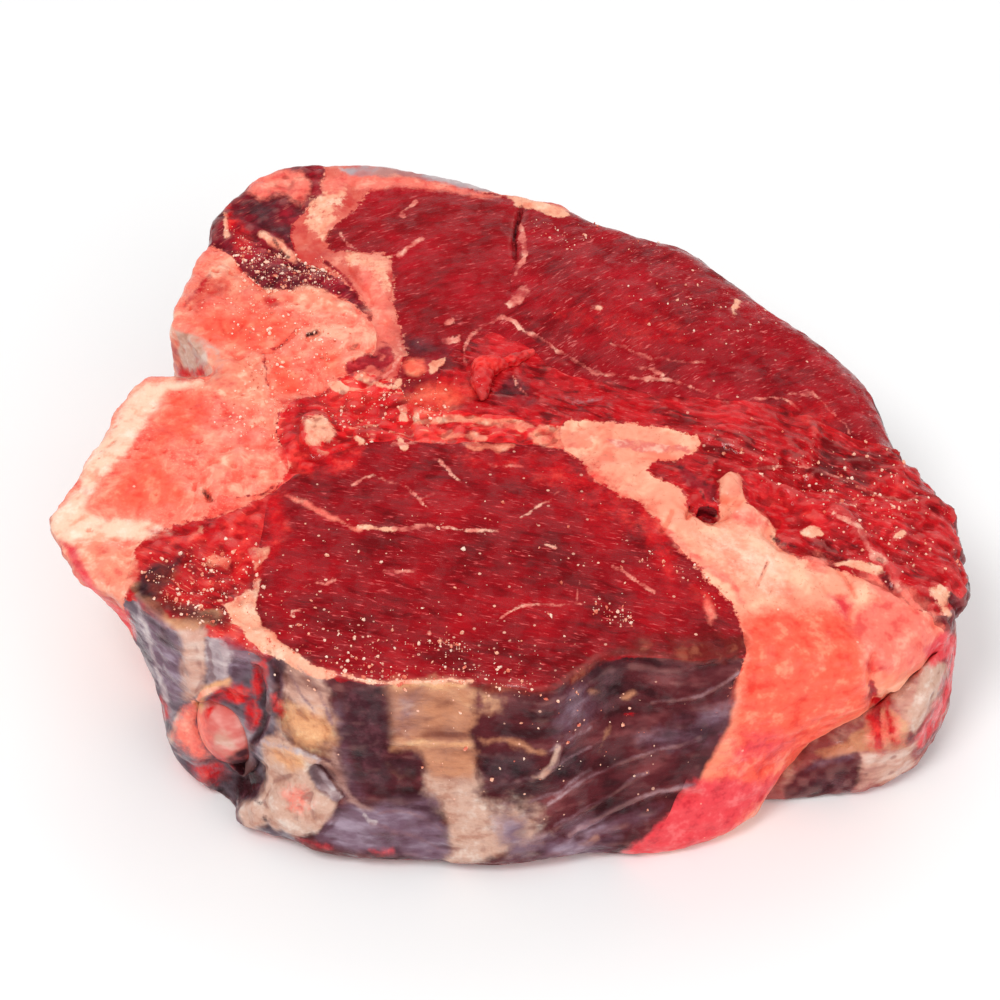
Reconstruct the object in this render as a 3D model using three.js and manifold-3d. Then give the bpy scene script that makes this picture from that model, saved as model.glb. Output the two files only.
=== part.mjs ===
// A thick raw porterhouse steak, dry aged, lying on its base with the fresh cut face up.
// Sizes are in millimetres. +Z is up, +X runs from the backbone to the tail and +Y from the
// strip side to the tenderloin side. The origin is the centre of the base.
//
// The whole steak is one closed envelope: an outline in polar form at three heights, under a
// cut face with relief. Seams then divide it down to the base into bone, muscles and fat, as
// the long muscles of the loin do. The knob, the tail and a loose shred are solids of their own.
import * as THREE from "three";
import { mergeVertices } from "three/addons/utils/BufferGeometryUtils.js";
import Module from "manifold-3d";

const wasm = await Module();
wasm.setup();

const thickness = 60;
const core = [-8, -13]; // the pole of the outline, in plan
const seamGap = 0.3; // clearance between neighbouring pieces
const around = 128; // points round the outline
const wallSteps = 9;
const seamStep = 5.2;

// The outline: direction in degrees, then the radius at the cut face, at half height, at the base.
const outline = [
  [-170, 108, 94, 86], [-160, 106, 91, 87], [-152, 97, 93, 91], [-144, 93, 92, 92],
  [-131, 81, 86, 92], [-115, 79, 85, 89], [-99, 73, 80, 85], [-88, 74, 81, 86],
  [-77, 77, 82, 85], [-66, 72, 81, 89], [-55, 79, 88, 96], [-44, 91, 96, 98],
  [-34, 109, 104, 87], [-24, 121, 108, 82], [-12, 126, 111, 84], [0, 122, 109, 91],
  [9, 112, 109, 99], [24, 113, 115, 108], [40, 106, 112, 107], [58, 107, 112, 107],
  [72, 107, 111, 108], [86, 114, 117, 112], [98, 125, 126, 119], [107, 132, 131, 123],
  [118, 137, 133, 124], [129, 119, 120, 113], [141, 107, 106, 100], [151, 97, 95, 90],
  [163, 98, 92, 84], [177, 101, 93, 86],
];

// Dents (-) and bosses (+) on the wall: direction, height, half extents in degrees and mm, depth.
const wallFeatures = [
  { deg: 152, z: 60, halfDeg: 6, halfZ: 70, depth: -17 }, // split spinal canal
  { deg: 125.5, z: 58, halfDeg: 2.2, halfZ: 16, depth: 6 }, // spike of sinew
  { deg: -171, z: 60, halfDeg: 4, halfZ: 13, depth: 3 }, // tip of the spinous process
  { deg: 78, z: 58, halfDeg: 5, halfZ: 9, depth: 3 }, // lumps of fat on the rear rim
  { deg: 84, z: 57, halfDeg: 3, halfZ: 7, depth: 2 },
  { deg: -139, z: 27, halfDeg: 8, halfZ: 13, depth: -7 }, // hollow round the joint knob
  { deg: -136, z: 8, halfDeg: 5, halfZ: 8, depth: -5 }, // blood pocket under the knob
  { deg: -146, z: 16, halfDeg: 4, halfZ: 9, depth: 3 }, // lip of cartilage beside the knob
  { deg: -124, z: 13, halfDeg: 5, halfZ: 8, depth: 3.5 }, // lumps of rib fat
  { deg: -117, z: 9, halfDeg: 3.5, halfZ: 6, depth: 3 },
  { deg: -127, z: 3, halfDeg: 3, halfZ: 6, depth: 2.5 },
  { deg: -60, z: 46, halfDeg: 10, halfZ: 12, depth: -3 }, // tuck under the corner of the strip
  { deg: -30, z: 22, halfDeg: 5, halfZ: 14, depth: -4 }, // crease where the tail folds under
];

// Bumps (+) and hollows (-) on the cut face: centre, half extents, turn in degrees, height.
const faceFeatures = [
  { at: [35, 48], half: [52, 34], turn: -40, height: 3 }, // crown of the rump muscle
  { at: [-15, 72], half: [30, 30], turn: 0, height: 1.5 }, // crown of the tenderloin
  { at: [-5, -42], half: [62, 34], turn: 0, height: 1.5 }, // crown of the strip
  { at: [-38, 10], half: [26, 10], turn: -25, height: -2.5 }, // ragged hollow at the T's stem
  { at: [10, 18], half: [24, 8], turn: -20, height: -2 },
  { at: [50, -27], half: [4, 7], turn: 30, height: -6 }, // pit between the fat and the flank
  { at: [56, -19], half: [4, 8], turn: -10, height: 5.5 }, // flake of fat standing up
  { at: [62, -2], half: [22, 7], turn: -15, height: 2.5 }, // folds of the flank muscle
  { at: [80, -14], half: [26, 6], turn: -32, height: -2.5 },
  { at: [88, -28], half: [20, 6], turn: -35, height: 3 },
  { at: [68, -28], half: [8, 7], turn: -30, height: -3 },
  { at: [92, -50], half: [14, 6], turn: -25, height: 2.5 }, // lump at the end of the fat
  { at: [60, 30], half: [16, 4], turn: 40, height: -1.8 }, // crease across the rump muscle
  { at: [-25, 26], half: [3.4, 2.8], turn: 10, height: 3 }, // crumbs of fat
  { at: [-19, 28], half: [3.2, 2.4], turn: 40, height: 2.6 },
  { at: [-52, -3], half: [4.5, 6], turn: 0, height: 2.2 },
  { at: [-84, 40], half: [16, 18], turn: 0, height: 1.2 }, // sawn bone stands a little proud
  { at: [-88, -8], half: [22, 22], turn: 0, height: 1 },
  { at: [-58, 78], half: [14, 18], turn: 20, height: -2.2 }, // dried muscle has shrunk
  { at: [-74, -50], half: [14, 14], turn: 0, height: -2 },
];

// Where the face is torn and not cut: centre, half extents, turn, size of the crags.
const tornAreas = [
  { at: [-36, 8], half: [30, 16], turn: -20, crags: 2.2 },
  { at: [78, -20], half: [42, 26], turn: -30, crags: 2.0 },
  { at: [20, 20], half: [34, 14], turn: -15, crags: 1.0 },
  { at: [-70, 68], half: [24, 18], turn: 20, crags: 1.2 },
  { at: [-76, -50], half: [18, 22], turn: 0, crags: 1.2 },
  { at: [-70, 25], half: [34, 30], turn: 0, crags: 0.7 },
];

// How far the rim rounds over, by direction: soft muscle at the back, a crisp edge in front.
const rimRounding = [
  [-180, 3], [-150, 3], [-120, 2], [-60, 2], [-44, 5], [-20, 9], [0, 8], [12, 10],
  [40, 11], [60, 9], [80, 6], [110, 4], [140, 3],
];
const baseRounding = 6;

// The seams, in plan on the cut face. A base list gives the same points where the seam
// meets the base, for a seam that leans.
const seams = [
  [ // round the backbone
    [-96, 82], [-80, 74], [-74, 66], [-66, 57], [-57, 56], [-46, 54], [-37, 43], [-36, 32],
    [-42, 24], [-50, 17], [-58, 11], [-60, 1], [-57, -12], [-62, -22], [-73, -29], [-83, -32],
    [-91, -38], [-94, -46], [-95, -57], [-104, -72],
  ],
  [ // between the dried side muscle and the seam fat
    [-53, 125], [-54, 97], [-61, 84], [-58, 71], [-50, 65], [-41, 55], [-37.5, 47], [-38.5, 40],
  ],
  [ // round the tenderloin, on the fat side
    [32, 104], [14, 90], [3, 95], [-3, 99], [-20, 102], [-38, 101], [-45, 90], [-51, 82],
    [-48, 74], [-35, 71], [-32, 64], [-32, 52], [-30, 41], [-28, 30], [-32, 16],
  ],
  [ // upper side of the T's stem and of the fat kernel
    [-44.5, 25.5], [-37, 23], [-30, 19], [-24, 11], [-16, 9], [2, 6], [18, 5], [36, 3], [49, -3],
    [44, -8], [36, -10], [36, -15], [42, -20], [48, -29], [52, -27], [53, -17], [58, -15],
    [60, -24], [66, -29], [67, -36], [74, -42], [86, -44], [94, -49], [106, -54], [130, -58],
  ],
  { // between the strip and the fat, leaning forward on the outer wall
    face: [
      [-66, -26], [-56, -17], [-46, -8], [-34, -3], [-16, -3], [7, -4], [16, -8], [23, -19],
      [33, -26], [40, -38], [48, -51], [56, -62], [58, -74], [60, -104],
    ],
    base: [
      [-66, -26], [-56, -17], [-46, -8], [-34, -3], [-16, -3], [7, -4], [15, -9], [20, -21],
      [26, -30], [29, -43], [32, -57], [34, -70], [33, -84], [30, -110],
    ],
  },
  [[14, 8], [13, 0], [14, -10]], // end of the T's stem
  [[3, 97], [3, 92], [1, 80], [1, 66], [-1, 54], [-6, 40], [-7.5, 36]], // tenderloin and rump
  [[-4, 42], [-14, 33], [-19, 25], [-20, 15], [-17.5, 6]], // tenderloin and inner flank
  [ // rump and flank
    [-8.5, 41], [2, 36], [13, 25], [23, 21], [36, 16], [49, 14], [64, 14], [76, 12], [87, 7],
    [98, 6], [130, 10],
  ],
  [[-60.5, -17], [-62, -33], [-63, -50], [-64, -62], [-59, -71], [-52, -100]], // beside the strip
];

const rad = (deg) => (deg * Math.PI) / 180;
const mix = (a, b, t) => a + (b - a) * t;
const clamp01 = (t) => Math.min(1, Math.max(0, t));
const smooth = (t) => clamp01(t) ** 2 * (3 - 2 * clamp01(t));
const bell = (q) => (Math.abs(q) < 1 ? (1 - q * q) ** 2 : 0);
const turnBetween = (a, b) => ((((a - b) % 360) + 540) % 360) - 180;

// A smooth value read round the outline from rows of [degrees, value, ...].
function readRound(rows, deg, column) {
  const n = rows.length;
  const turns = (i) => Math.floor(i / n);
  const at = (i) => rows[i - n * turns(i)][0] + 360 * turns(i);
  const value = (i) => rows[i - n * turns(i)][column];
  const slope = (i) => (value(i + 1) - value(i - 1)) / (at(i + 1) - at(i - 1));
  let i = -1;
  while (at(i + 1) <= deg) i++;
  const span = at(i + 1) - at(i);
  const t = (deg - at(i)) / span;
  return (
    (2 * t ** 3 - 3 * t ** 2 + 1) * value(i) +
    (t ** 3 - 2 * t ** 2 + t) * slope(i) * span +
    (3 * t ** 2 - 2 * t ** 3) * value(i + 1) +
    (t ** 3 - t ** 2) * slope(i + 1) * span
  );
}

// Seeded value noise, from -1 to 1, over the plan.
function lattice(ix, iy) {
  const s = Math.sin(ix * 127.1 + iy * 311.7 + 17.3) * 43758.5453;
  return (s - Math.floor(s)) * 2 - 1;
}

function noise(x, y) {
  const [ix, iy] = [Math.floor(x), Math.floor(y)];
  const [fx, fy] = [smooth(x - ix), smooth(y - iy)];
  const low = mix(lattice(ix, iy), lattice(ix + 1, iy), fx);
  const high = mix(lattice(ix, iy + 1), lattice(ix + 1, iy + 1), fx);
  return mix(low, high, fy);
}

// How far a plan point lies inside a turned ellipse: 1 at its centre, 0 at its edge.
function inEllipse(x, y, { at, half, turn }) {
  const [c, s] = [Math.cos(rad(turn)), Math.sin(rad(turn))];
  const [dx, dy] = [x - at[0], y - at[1]];
  return bell(Math.hypot((dx * c + dy * s) / half[0], (dy * c - dx * s) / half[1]));
}

// The radius of the wall at a direction and a share of the height, 0 at the base.
function wallRadius(deg, share) {
  const [top, middle, base] = [1, 2, 3].map((column) => readRound(outline, deg, column));
  const bend = 4 * share * (1 - share);
  let r = mix(base, top, share) + (middle - (top + base) / 2) * bend;
  for (const f of wallFeatures) {
    const across = turnBetween(deg, f.deg) / f.halfDeg;
    const up = (share * thickness - f.z) / f.halfZ;
    r += f.depth * bell(Math.hypot(across, up));
  }
  const ragged = bell(turnBetween(deg, -8) / 26) * smooth(share * 2 - 0.6);
  r += ragged * 3.2 * noise(deg / 3.1, share * 2.4);
  return r + 0.9 * noise(deg / 7, share * 3 + 9);
}

const samples = (points) =>
  new THREE.CatmullRomCurve3(
    points.map(([x, y]) => new THREE.Vector3(x, y, 0)),
    false,
    "centripetal",
  );

const seamCurves = seams.map((seam) => {
  const face = samples(seam.face ?? seam);
  const steps = Math.ceil(face.getLength() / seamStep);
  return {
    face: face.getPoints(steps),
    base: samples(seam.base ?? seam.face ?? seam).getPoints(steps),
  };
});

function seamDistance(x, y) {
  let least = Infinity;
  for (const { face } of seamCurves)
    for (const p of face) least = Math.min(least, Math.hypot(p.x - x, p.y - y));
  return least;
}

// Height of the cut face over the base.
function faceHeight(x, y) {
  const slump = 11 * smooth((x - 45) / 80) + 4 * smooth((x - 30) / 60) * smooth((-y - 30) / 50);
  let z = thickness - slump;
  for (const f of faceFeatures) z += f.height * inEllipse(x, y, f);
  for (const area of tornAreas) {
    const share = Math.sqrt(inEllipse(x, y, area));
    z += share * area.crags * (0.65 * noise(x / 5.5, y / 4.5) + 0.35 * noise(x / 2.6, y / 2.3 + 5));
  }
  return z - 0.9 * bell(seamDistance(x, y) / 4.5) + 0.35 * noise(x / 9, y / 9);
}

// Rings of points, each [x, y, z], from the middle of the face over the rim to the base.
function envelopeRings(grow) {
  const rings = [];
  const ring = (count, place) =>
    rings.push(Array.from({ length: count }, (_, i) => place((i * 360) / count - 180)));
  const polar = (deg, r) => [core[0] + r * Math.cos(rad(deg)), core[1] + r * Math.sin(rad(deg))];
  const rim = (deg) => readRound(rimRounding, deg, 1);
  const onFace = (deg, share) => {
    const reach = wallRadius(deg, 1) + grow;
    const [x, y] = polar(deg, reach * share);
    const over = clamp01(1 - (reach * (1 - share)) / rim(deg));
    const [fx, fy] = polar(deg, (reach - grow) * share);
    const drop = 0.75 * rim(deg) * (1 - Math.sqrt(1 - over ** 2));
    return [x, y, faceHeight(fx, fy) - drop + grow];
  };
  const inner = [[8, 0.05], [16, 0.1], [32, 0.17], [32, 0.23], [64, 0.3], [64, 0.36], [64, 0.42]];
  for (const [count, share] of inner) ring(count, (deg) => onFace(deg, share));
  const outer = [0.48, 0.54, 0.6, 0.66, 0.72, 0.78, 0.84, 0.89, 0.93, 0.96, 0.985, 1];
  for (const share of outer) ring(around, (deg) => onFace(deg, share));
  const edge = rings[rings.length - 1].map((p) => p[2]);
  for (let k = 1; k <= wallSteps; k++)
    ring(around, (deg) => {
      const i = Math.round(((deg + 180) * around) / 360) % around;
      const z = mix(edge[i], -grow, (k / wallSteps) ** 0.9);
      const under = clamp01(1 - z / baseRounding);
      const tuck = baseRounding * 0.8 * (1 - Math.sqrt(1 - under ** 2));
      const share = clamp01(z / edge[i]);
      return [...polar(deg, wallRadius(deg, share) - tuck + grow), z];
    });
  for (const [count, share] of [[64, 0.8], [32, 0.5], [16, 0.25]])
    ring(count, (deg) => {
      const r = (wallRadius(deg, 0) - baseRounding * 0.8) * share;
      return [...polar(deg, r), -grow];
    });
  return rings;
}

// A closed body from rings whose counts double, halve or stay, capped by a point at each end.
function closeRings(rings, first, last) {
  const points = [first];
  const faces = [];
  const starts = rings.map((ring) => {
    const start = points.length;
    points.push(...ring);
    return start;
  });
  const tip = points.push(last) - 1;
  const at = (k, i) => starts[k] + (i % rings[k].length);
  rings[0].forEach((_, i) => faces.push([0, at(0, i), at(0, i + 1)]));
  for (let k = 0; k + 1 < rings.length; k++) {
    const [m, n] = [rings[k].length, rings[k + 1].length];
    for (let i = 0; i < Math.min(m, n); i++) {
      if (n === m) {
        faces.push([at(k, i), at(k + 1, i), at(k + 1, i + 1)]);
        faces.push([at(k, i), at(k + 1, i + 1), at(k, i + 1)]);
      } else if (n === 2 * m) {
        faces.push([at(k, i), at(k + 1, 2 * i), at(k + 1, 2 * i + 1)]);
        faces.push([at(k, i), at(k + 1, 2 * i + 1), at(k, i + 1)]);
        faces.push([at(k, i + 1), at(k + 1, 2 * i + 1), at(k + 1, 2 * i + 2)]);
      } else {
        faces.push([at(k, 2 * i), at(k + 1, i), at(k, 2 * i + 1)]);
        faces.push([at(k, 2 * i + 1), at(k + 1, i), at(k + 1, i + 1)]);
        faces.push([at(k, 2 * i + 1), at(k + 1, i + 1), at(k, 2 * i + 2)]);
      }
    }
  }
  const end = rings.length - 1;
  rings[end].forEach((_, i) => faces.push([at(end, i), tip, at(end, i + 1)]));
  const geometry = new THREE.BufferGeometry();
  geometry.setAttribute("position", new THREE.Float32BufferAttribute(points.flat(), 3));
  geometry.setIndex(faces.flat());
  return geometry;
}

function solid(geometry) {
  for (const name of ["normal", "uv"]) geometry.deleteAttribute(name);
  const merged = mergeVertices(geometry, 1e-4);
  return new wasm.Manifold(
    new wasm.Mesh({
      numProp: 3,
      vertProperties: merged.attributes.position.array,
      triVerts: new Uint32Array(merged.index.array),
    }),
  );
}

function envelope(grow = 0) {
  const top = faceHeight(...core) + grow;
  return solid(closeRings(envelopeRings(grow), [...core, top], [...core, -grow]));
}

// A thin blade along a seam, from below the base to above the face.
function blade({ face, base }) {
  const n = face.length;
  const leans = face.some((p, i) => p.distanceTo(base[i]) > 0.1);
  const levels = leans ? [-6, 14, 30, 46, thickness + 8] : [-6, thickness + 8];
  const points = levels.flatMap((z) => {
    const line = face.map((p, i) => new THREE.Vector2(
      mix(base[i].x, p.x, z / thickness),
      mix(base[i].y, p.y, z / thickness),
    ));
    return line.flatMap((p, i) => {
      const along = line[Math.min(n - 1, i + 1)].clone().sub(line[Math.max(0, i - 1)]);
      along.setLength(seamGap / 2);
      return [[p.x - along.y, p.y + along.x, z], [p.x + along.y, p.y - along.x, z]];
    });
  });
  const left = (k, i) => 2 * (k * n + i);
  const right = (k, i) => left(k, i) + 1;
  const faces = [];
  const quad = (p, q, r, s) => faces.push([p, q, r], [p, r, s]);
  const top = levels.length - 1;
  for (let k = 0; k < top; k++) {
    quad(left(k, 0), right(k, 0), right(k + 1, 0), left(k + 1, 0));
    quad(right(k, n - 1), left(k, n - 1), left(k + 1, n - 1), right(k + 1, n - 1));
    for (let i = 0; i + 1 < n; i++) {
      quad(left(k, i), left(k + 1, i), left(k + 1, i + 1), left(k, i + 1));
      quad(right(k, i), right(k, i + 1), right(k + 1, i + 1), right(k + 1, i));
    }
  }
  for (let i = 0; i + 1 < n; i++) {
    quad(left(0, i), left(0, i + 1), right(0, i + 1), right(0, i));
    quad(right(top, i), right(top, i + 1), left(top, i + 1), left(top, i));
  }
  const geometry = new THREE.BufferGeometry();
  geometry.setAttribute("position", new THREE.Float32BufferAttribute(points.flat(), 3));
  geometry.setIndex(faces.flat());
  return solid(geometry);
}

function largest(manifold) {
  return manifold.decompose().reduce((a, b) => (b.volume() > a.volume() ? b : a));
}

// An egg-shaped solid, its half axes given in mm, tipped about X and turned about Z.
function egg({ centre, half, tip, turn }, grow = 0) {
  const geometry = new THREE.SphereGeometry(1, 18, 12);
  geometry.scale(...half.map((h) => h + grow));
  geometry.rotateX(rad(tip));
  geometry.rotateZ(rad(turn));
  geometry.translate(...centre);
  return solid(geometry);
}

// The tail: a flap of flank folded under the fat, swept round the pole.
// Each station gives direction, outer radius and height.
function tailFlap(stations) {
  const profile = [
    [-34, 0, 0], [-12, 0, 0], [-3, 0, 0], [0, 0.1, 0], [1.5, 0.35, 0], [1.2, 0.65, 0],
    [-0.5, 0.9, 0], [-4, 1, 0], [-12, 1, 1], [-34, 1, 2],
  ];
  const rings = stations.map(([deg, radius, height]) =>
    profile.map(([out, up, lift]) => {
      const r = radius + out + 1.2 * noise(deg / 5, up * 3 + 21);
      const [c, s] = [Math.cos(rad(deg)), Math.sin(rad(deg))];
      return [core[0] + r * c, core[1] + r * s, up * height + lift];
    }),
  );
  const middle = (ring) => ring[0].map((_, i) => ring.reduce((sum, p) => sum + p[i], 0) / ring.length);
  return solid(closeRings(rings, middle(rings[0]), middle(rings[rings.length - 1])));
}

// A shred of meat: a bent, lumpy strand. Each station gives its centre and half axes.
function shred(stations) {
  const count = 10;
  const rings = stations.map(([x, y, z, wide, tall], k) =>
    Array.from({ length: count }, (_, i) => {
      const turn = (i * 2 * Math.PI) / count;
      const lump = 1 + 0.22 * noise(k * 1.7, i * 1.3 + 3);
      return [
        x + 0.55 * wide * lump * Math.cos(turn),
        y - 0.83 * wide * lump * Math.cos(turn),
        z + tall * lump * Math.sin(turn),
      ];
    }),
  );
  const end = (k) => stations[k].slice(0, 3);
  return solid(closeRings(rings, end(0), end(stations.length - 1)));
}

const knob = { centre: [-70, -69, 26], half: [8.5, 9, 11.5], tip: -14, turn: 30 };
const flapStations = [
  [-41, 91, 3], [-38, 97, 6], [-34, 106, 12], [-31, 114, 17], [-28, 120, 24], [-25, 123, 31],
  [-21, 124, 38], [-17, 125, 42], [-12, 124, 43], [-7, 120, 42], [-1, 114, 38], [4, 109, 28],
  [8, 103, 16],
];
const shredStations = [
  [-12, 14, 62, 1.4, 1], [-9.5, 17, 63.5, 3.2, 2], [-7, 20.5, 64.5, 4, 2.6],
  [-4, 23, 65.5, 3.4, 2.4], [-1.5, 26, 66, 3.8, 2.2], [1.5, 29, 65, 2.6, 1.8],
  [4, 31, 63.5, 1.2, 1],
];

// A point inside each piece that the seams part, and its colour.
const parts = {
  bone: { at: [-85, 20, 30], colour: 0xd98f78 },
  back_muscle: { at: [-76, -48, 30], colour: 0x6e1a20 },
  strip_loin: { at: [-10, -45, 30], colour: 0x97161f },
  fat_kernel: { at: [50, -50, 30], colour: 0xf0b692 },
  stem_tissue: { at: [-25, 4, 30], colour: 0xc8504a },
  seam_fat: { at: [-40, 60, 30], colour: 0xe6a184 },
  side_muscle: { at: [-64, 82, 30], colour: 0x6a141e },
  tenderloin: { at: [-15, 75, 30], colour: 0x9a1822 },
  rump_muscle: { at: [40, 45, 30], colour: 0x9c1a24 },
  flank_muscle: { at: [60, 2, 30], colour: 0xa5202a },
};

const steak = envelope();
const clearOfSteak = envelope(seamGap);
let cut = steak.subtract(egg(knob, seamGap));
for (const curve of seamCurves) cut = cut.subtract(blade(curve));
const pieces = cut.decompose();

// The piece that holds a point, found with a small probe.
function pieceAt(point) {
  const probe = egg({ centre: point, half: [1, 1, 1], tip: 0, turn: 0 });
  return pieces.find((piece) => piece.intersect(probe).volume() > 1);
}

const solids = Object.entries(parts).map(([name, part]) => [name, pieceAt(part.at), part.colour]);
solids.push(["joint_knob", egg(knob), 0xd9907c]);
solids.push(["tail_flap", largest(tailFlap(flapStations).subtract(clearOfSteak)), 0x7c2430]);
solids.push(["loose_shred", largest(shred(shredStations).subtract(clearOfSteak)), 0xc01c22]);

const steakGroup = new THREE.Group();
const bounds = new THREE.Box3();
for (const [name, manifold, colour] of solids) {
  const { vertProperties, triVerts } = manifold.getMesh();
  const geometry = new THREE.BufferGeometry();
  geometry.setAttribute("position", new THREE.Float32BufferAttribute(vertProperties, 3));
  geometry.setIndex([...triVerts]);
  geometry.computeVertexNormals();
  geometry.computeBoundingBox();
  bounds.union(geometry.boundingBox);
  const material = new THREE.MeshStandardMaterial({ color: colour, roughness: 0.45 });
  const mesh = new THREE.Mesh(geometry, material);
  mesh.name = name;
  steakGroup.add(mesh);
}
const middle = bounds.getCenter(new THREE.Vector3());
steakGroup.position.set(-middle.x, -middle.y, -bounds.min.z);

export default steakGroup;
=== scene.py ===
import math

import bmesh
import bpy
import numpy as np
from mathutils import Matrix, Vector
from mathutils.bvhtree import BVHTree
from mathutils.kdtree import KDTree


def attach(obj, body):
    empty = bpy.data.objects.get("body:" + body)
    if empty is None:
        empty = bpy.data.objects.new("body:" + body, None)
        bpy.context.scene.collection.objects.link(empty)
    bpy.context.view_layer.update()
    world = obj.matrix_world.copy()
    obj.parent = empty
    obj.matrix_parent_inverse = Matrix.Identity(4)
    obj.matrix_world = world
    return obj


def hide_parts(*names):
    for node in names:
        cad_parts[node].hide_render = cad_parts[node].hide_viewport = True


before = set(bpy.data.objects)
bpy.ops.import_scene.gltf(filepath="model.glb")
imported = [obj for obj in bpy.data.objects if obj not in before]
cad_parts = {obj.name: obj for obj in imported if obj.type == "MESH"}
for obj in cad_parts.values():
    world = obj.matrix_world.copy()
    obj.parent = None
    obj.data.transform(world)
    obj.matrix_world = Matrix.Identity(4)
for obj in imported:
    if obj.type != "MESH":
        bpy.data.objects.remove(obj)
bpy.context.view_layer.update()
print("frame loaded:", len(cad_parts), "nodes")

millimetre = 0.001
planShift = np.array([0.383, -8.073, 0.0])  # where the drawing's zero lies in the frame, mm

shot = {
    "elevation": 45.0,
    "distance": 0.8,
    "pixelsPerMetre": 3770.0,  # at the aim point
    "aim": (0.0004, -0.0081, 0.030),
    "aimPixel": (511.0, 516.0),
    "frame": 1000.0,
    "sensor": 36.0,
}


def cameraAxes():
    tilt = math.radians(shot["elevation"])
    ahead = Vector((0.0, math.cos(tilt), -math.sin(tilt)))
    above = Vector((0.0, math.sin(tilt), math.cos(tilt)))
    return Vector((1.0, 0.0, 0.0)), above, ahead


def cameraPlace():
    return Vector(shot["aim"]) - cameraAxes()[2] * shot["distance"]


def makeCamera():
    across, above, ahead = cameraAxes()
    data = bpy.data.cameras.new("camera")
    data.sensor_width = shot["sensor"]
    data.lens = shot["pixelsPerMetre"] * shot["distance"] * shot["sensor"] / shot["frame"]
    half = shot["frame"] / 2
    data.shift_x = (half - shot["aimPixel"][0]) / shot["frame"]
    data.shift_y = (shot["aimPixel"][1] - half) / shot["frame"]
    data.clip_start, data.clip_end = 0.05, 20.0
    camera = bpy.data.objects.new("camera", data)
    bpy.context.scene.collection.objects.link(camera)
    turn = Matrix((across, above, -ahead)).transposed()
    camera.matrix_world = Matrix.Translation(cameraPlace()) @ turn.to_4x4()
    bpy.context.scene.camera = camera


def toPixels(points):
    # where each point, in metres, falls in the photograph
    across, above, ahead = (np.array(axis) for axis in cameraAxes())
    away = points - np.array(cameraPlace())
    scale = shot["pixelsPerMetre"] * shot["distance"] / (away @ ahead)
    return np.stack(
        [shot["aimPixel"][0] + scale * (away @ across), shot["aimPixel"][1] - scale * (away @ above)], 1
    )


makeCamera()


def ramp(low, high, value):
    share = np.clip((value - low) / (high - low), 0.0, 1.0)
    return share * share * (3 - 2 * share)


def hashed(ix, iy, iz, seed):
    mixed = (ix * 73856093) ^ (iy * 19349663) ^ (iz * 83492791) ^ (seed * 2654435)
    mixed = (mixed ^ (mixed >> 13)) * 1274126177
    mixed = (mixed ^ (mixed >> 16)) & 0xFFFFFF
    return mixed / 8388607.5 - 1.0


def noise(points, cell, seed):
    # smooth value noise from -1 to 1; cell is one size or a size along each axis, mm
    scaled = points / np.asarray(cell, dtype=float)
    base = np.floor(scaled).astype(np.int64)
    part = scaled - base
    part = part * part * (3 - 2 * part)
    total = np.zeros(len(points))
    for dx in (0, 1):
        wx = part[:, 0] if dx else 1 - part[:, 0]
        for dy in (0, 1):
            wy = part[:, 1] if dy else 1 - part[:, 1]
            for dz in (0, 1):
                wz = part[:, 2] if dz else 1 - part[:, 2]
                corner = hashed(base[:, 0] + dx, base[:, 1] + dy, base[:, 2] + dz, seed)
                total += wx * wy * wz * corner
    return total


def layeredNoise(points, cell, seed, layers=3):
    total, weight, reach = np.zeros(len(points)), 1.0, 0.0
    cell = np.asarray(cell, dtype=float)
    for layer in range(layers):
        total += weight * noise(points, cell, seed + layer * 17)
        reach += weight
        weight *= 0.5
        cell = cell / 2
    return total / reach


def ridges(points, cell, seed):
    # 1 along thin wandering crests, 0 in the hollows between them
    return (1 - np.abs(layeredNoise(points, cell, seed, 2)) * 1.6).clip(0, 1) ** 2


def lumps(points, cell, seed):
    # distance to the nearest of one scattered seed per cell: 0 in a lump's middle, about 1 between
    scaled = points / cell
    base = np.floor(scaled).astype(np.int64)
    nearest = np.full(len(points), 9.0)
    for dx in (-1, 0, 1):
        for dy in (-1, 0, 1):
            for dz in (-1, 0, 1):
                ix, iy, iz = base[:, 0] + dx, base[:, 1] + dy, base[:, 2] + dz
                away = np.zeros(len(points))
                for axis, index in enumerate((ix, iy, iz)):
                    place = index + 0.5 + 0.45 * hashed(ix, iy, iz, seed + axis * 31)
                    away += (scaled[:, axis] - place) ** 2
                nearest = np.minimum(nearest, away)
    return np.sqrt(nearest)


def turned(points, degrees):
    c, s = math.cos(math.radians(degrees)), math.sin(math.radians(degrees))
    return np.stack(
        [points[:, 0] * c + points[:, 1] * s, points[:, 1] * c - points[:, 0] * s, points[:, 2]], 1
    )


def lineDistance(points, line):
    # from each point to the nearest place on a line of points, in as many dimensions as they have
    line = np.asarray(line, dtype=float)
    best = np.full(len(points), 1e9)
    for start, end in zip(line[:-1], line[1:]):
        along = end - start
        length = max(float(along @ along), 1e-12)
        share = np.clip(((points - start) @ along) / length, 0, 1)
        gap = points - start - share[:, None] * along
        best = np.minimum(best, np.einsum("ij,ij->i", gap, gap))
    return np.sqrt(best)


def patchDepth(points, outline):
    # how far inside a closed flat outline each point lies; outside it is negative
    ring = np.asarray(list(outline) + [outline[0]], dtype=float)
    inside = np.zeros(len(points), dtype=bool)
    for start, end in zip(ring[:-1], ring[1:]):
        between = (start[1] > points[:, 1]) != (end[1] > points[:, 1])
        slope = (end[0] - start[0]) / (end[1] - start[1] if end[1] != start[1] else 1e-9)
        inside ^= between & (points[:, 0] < start[0] + slope * (points[:, 1] - start[1]))
    return np.where(inside, 1, -1) * lineDistance(points, ring)


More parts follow.
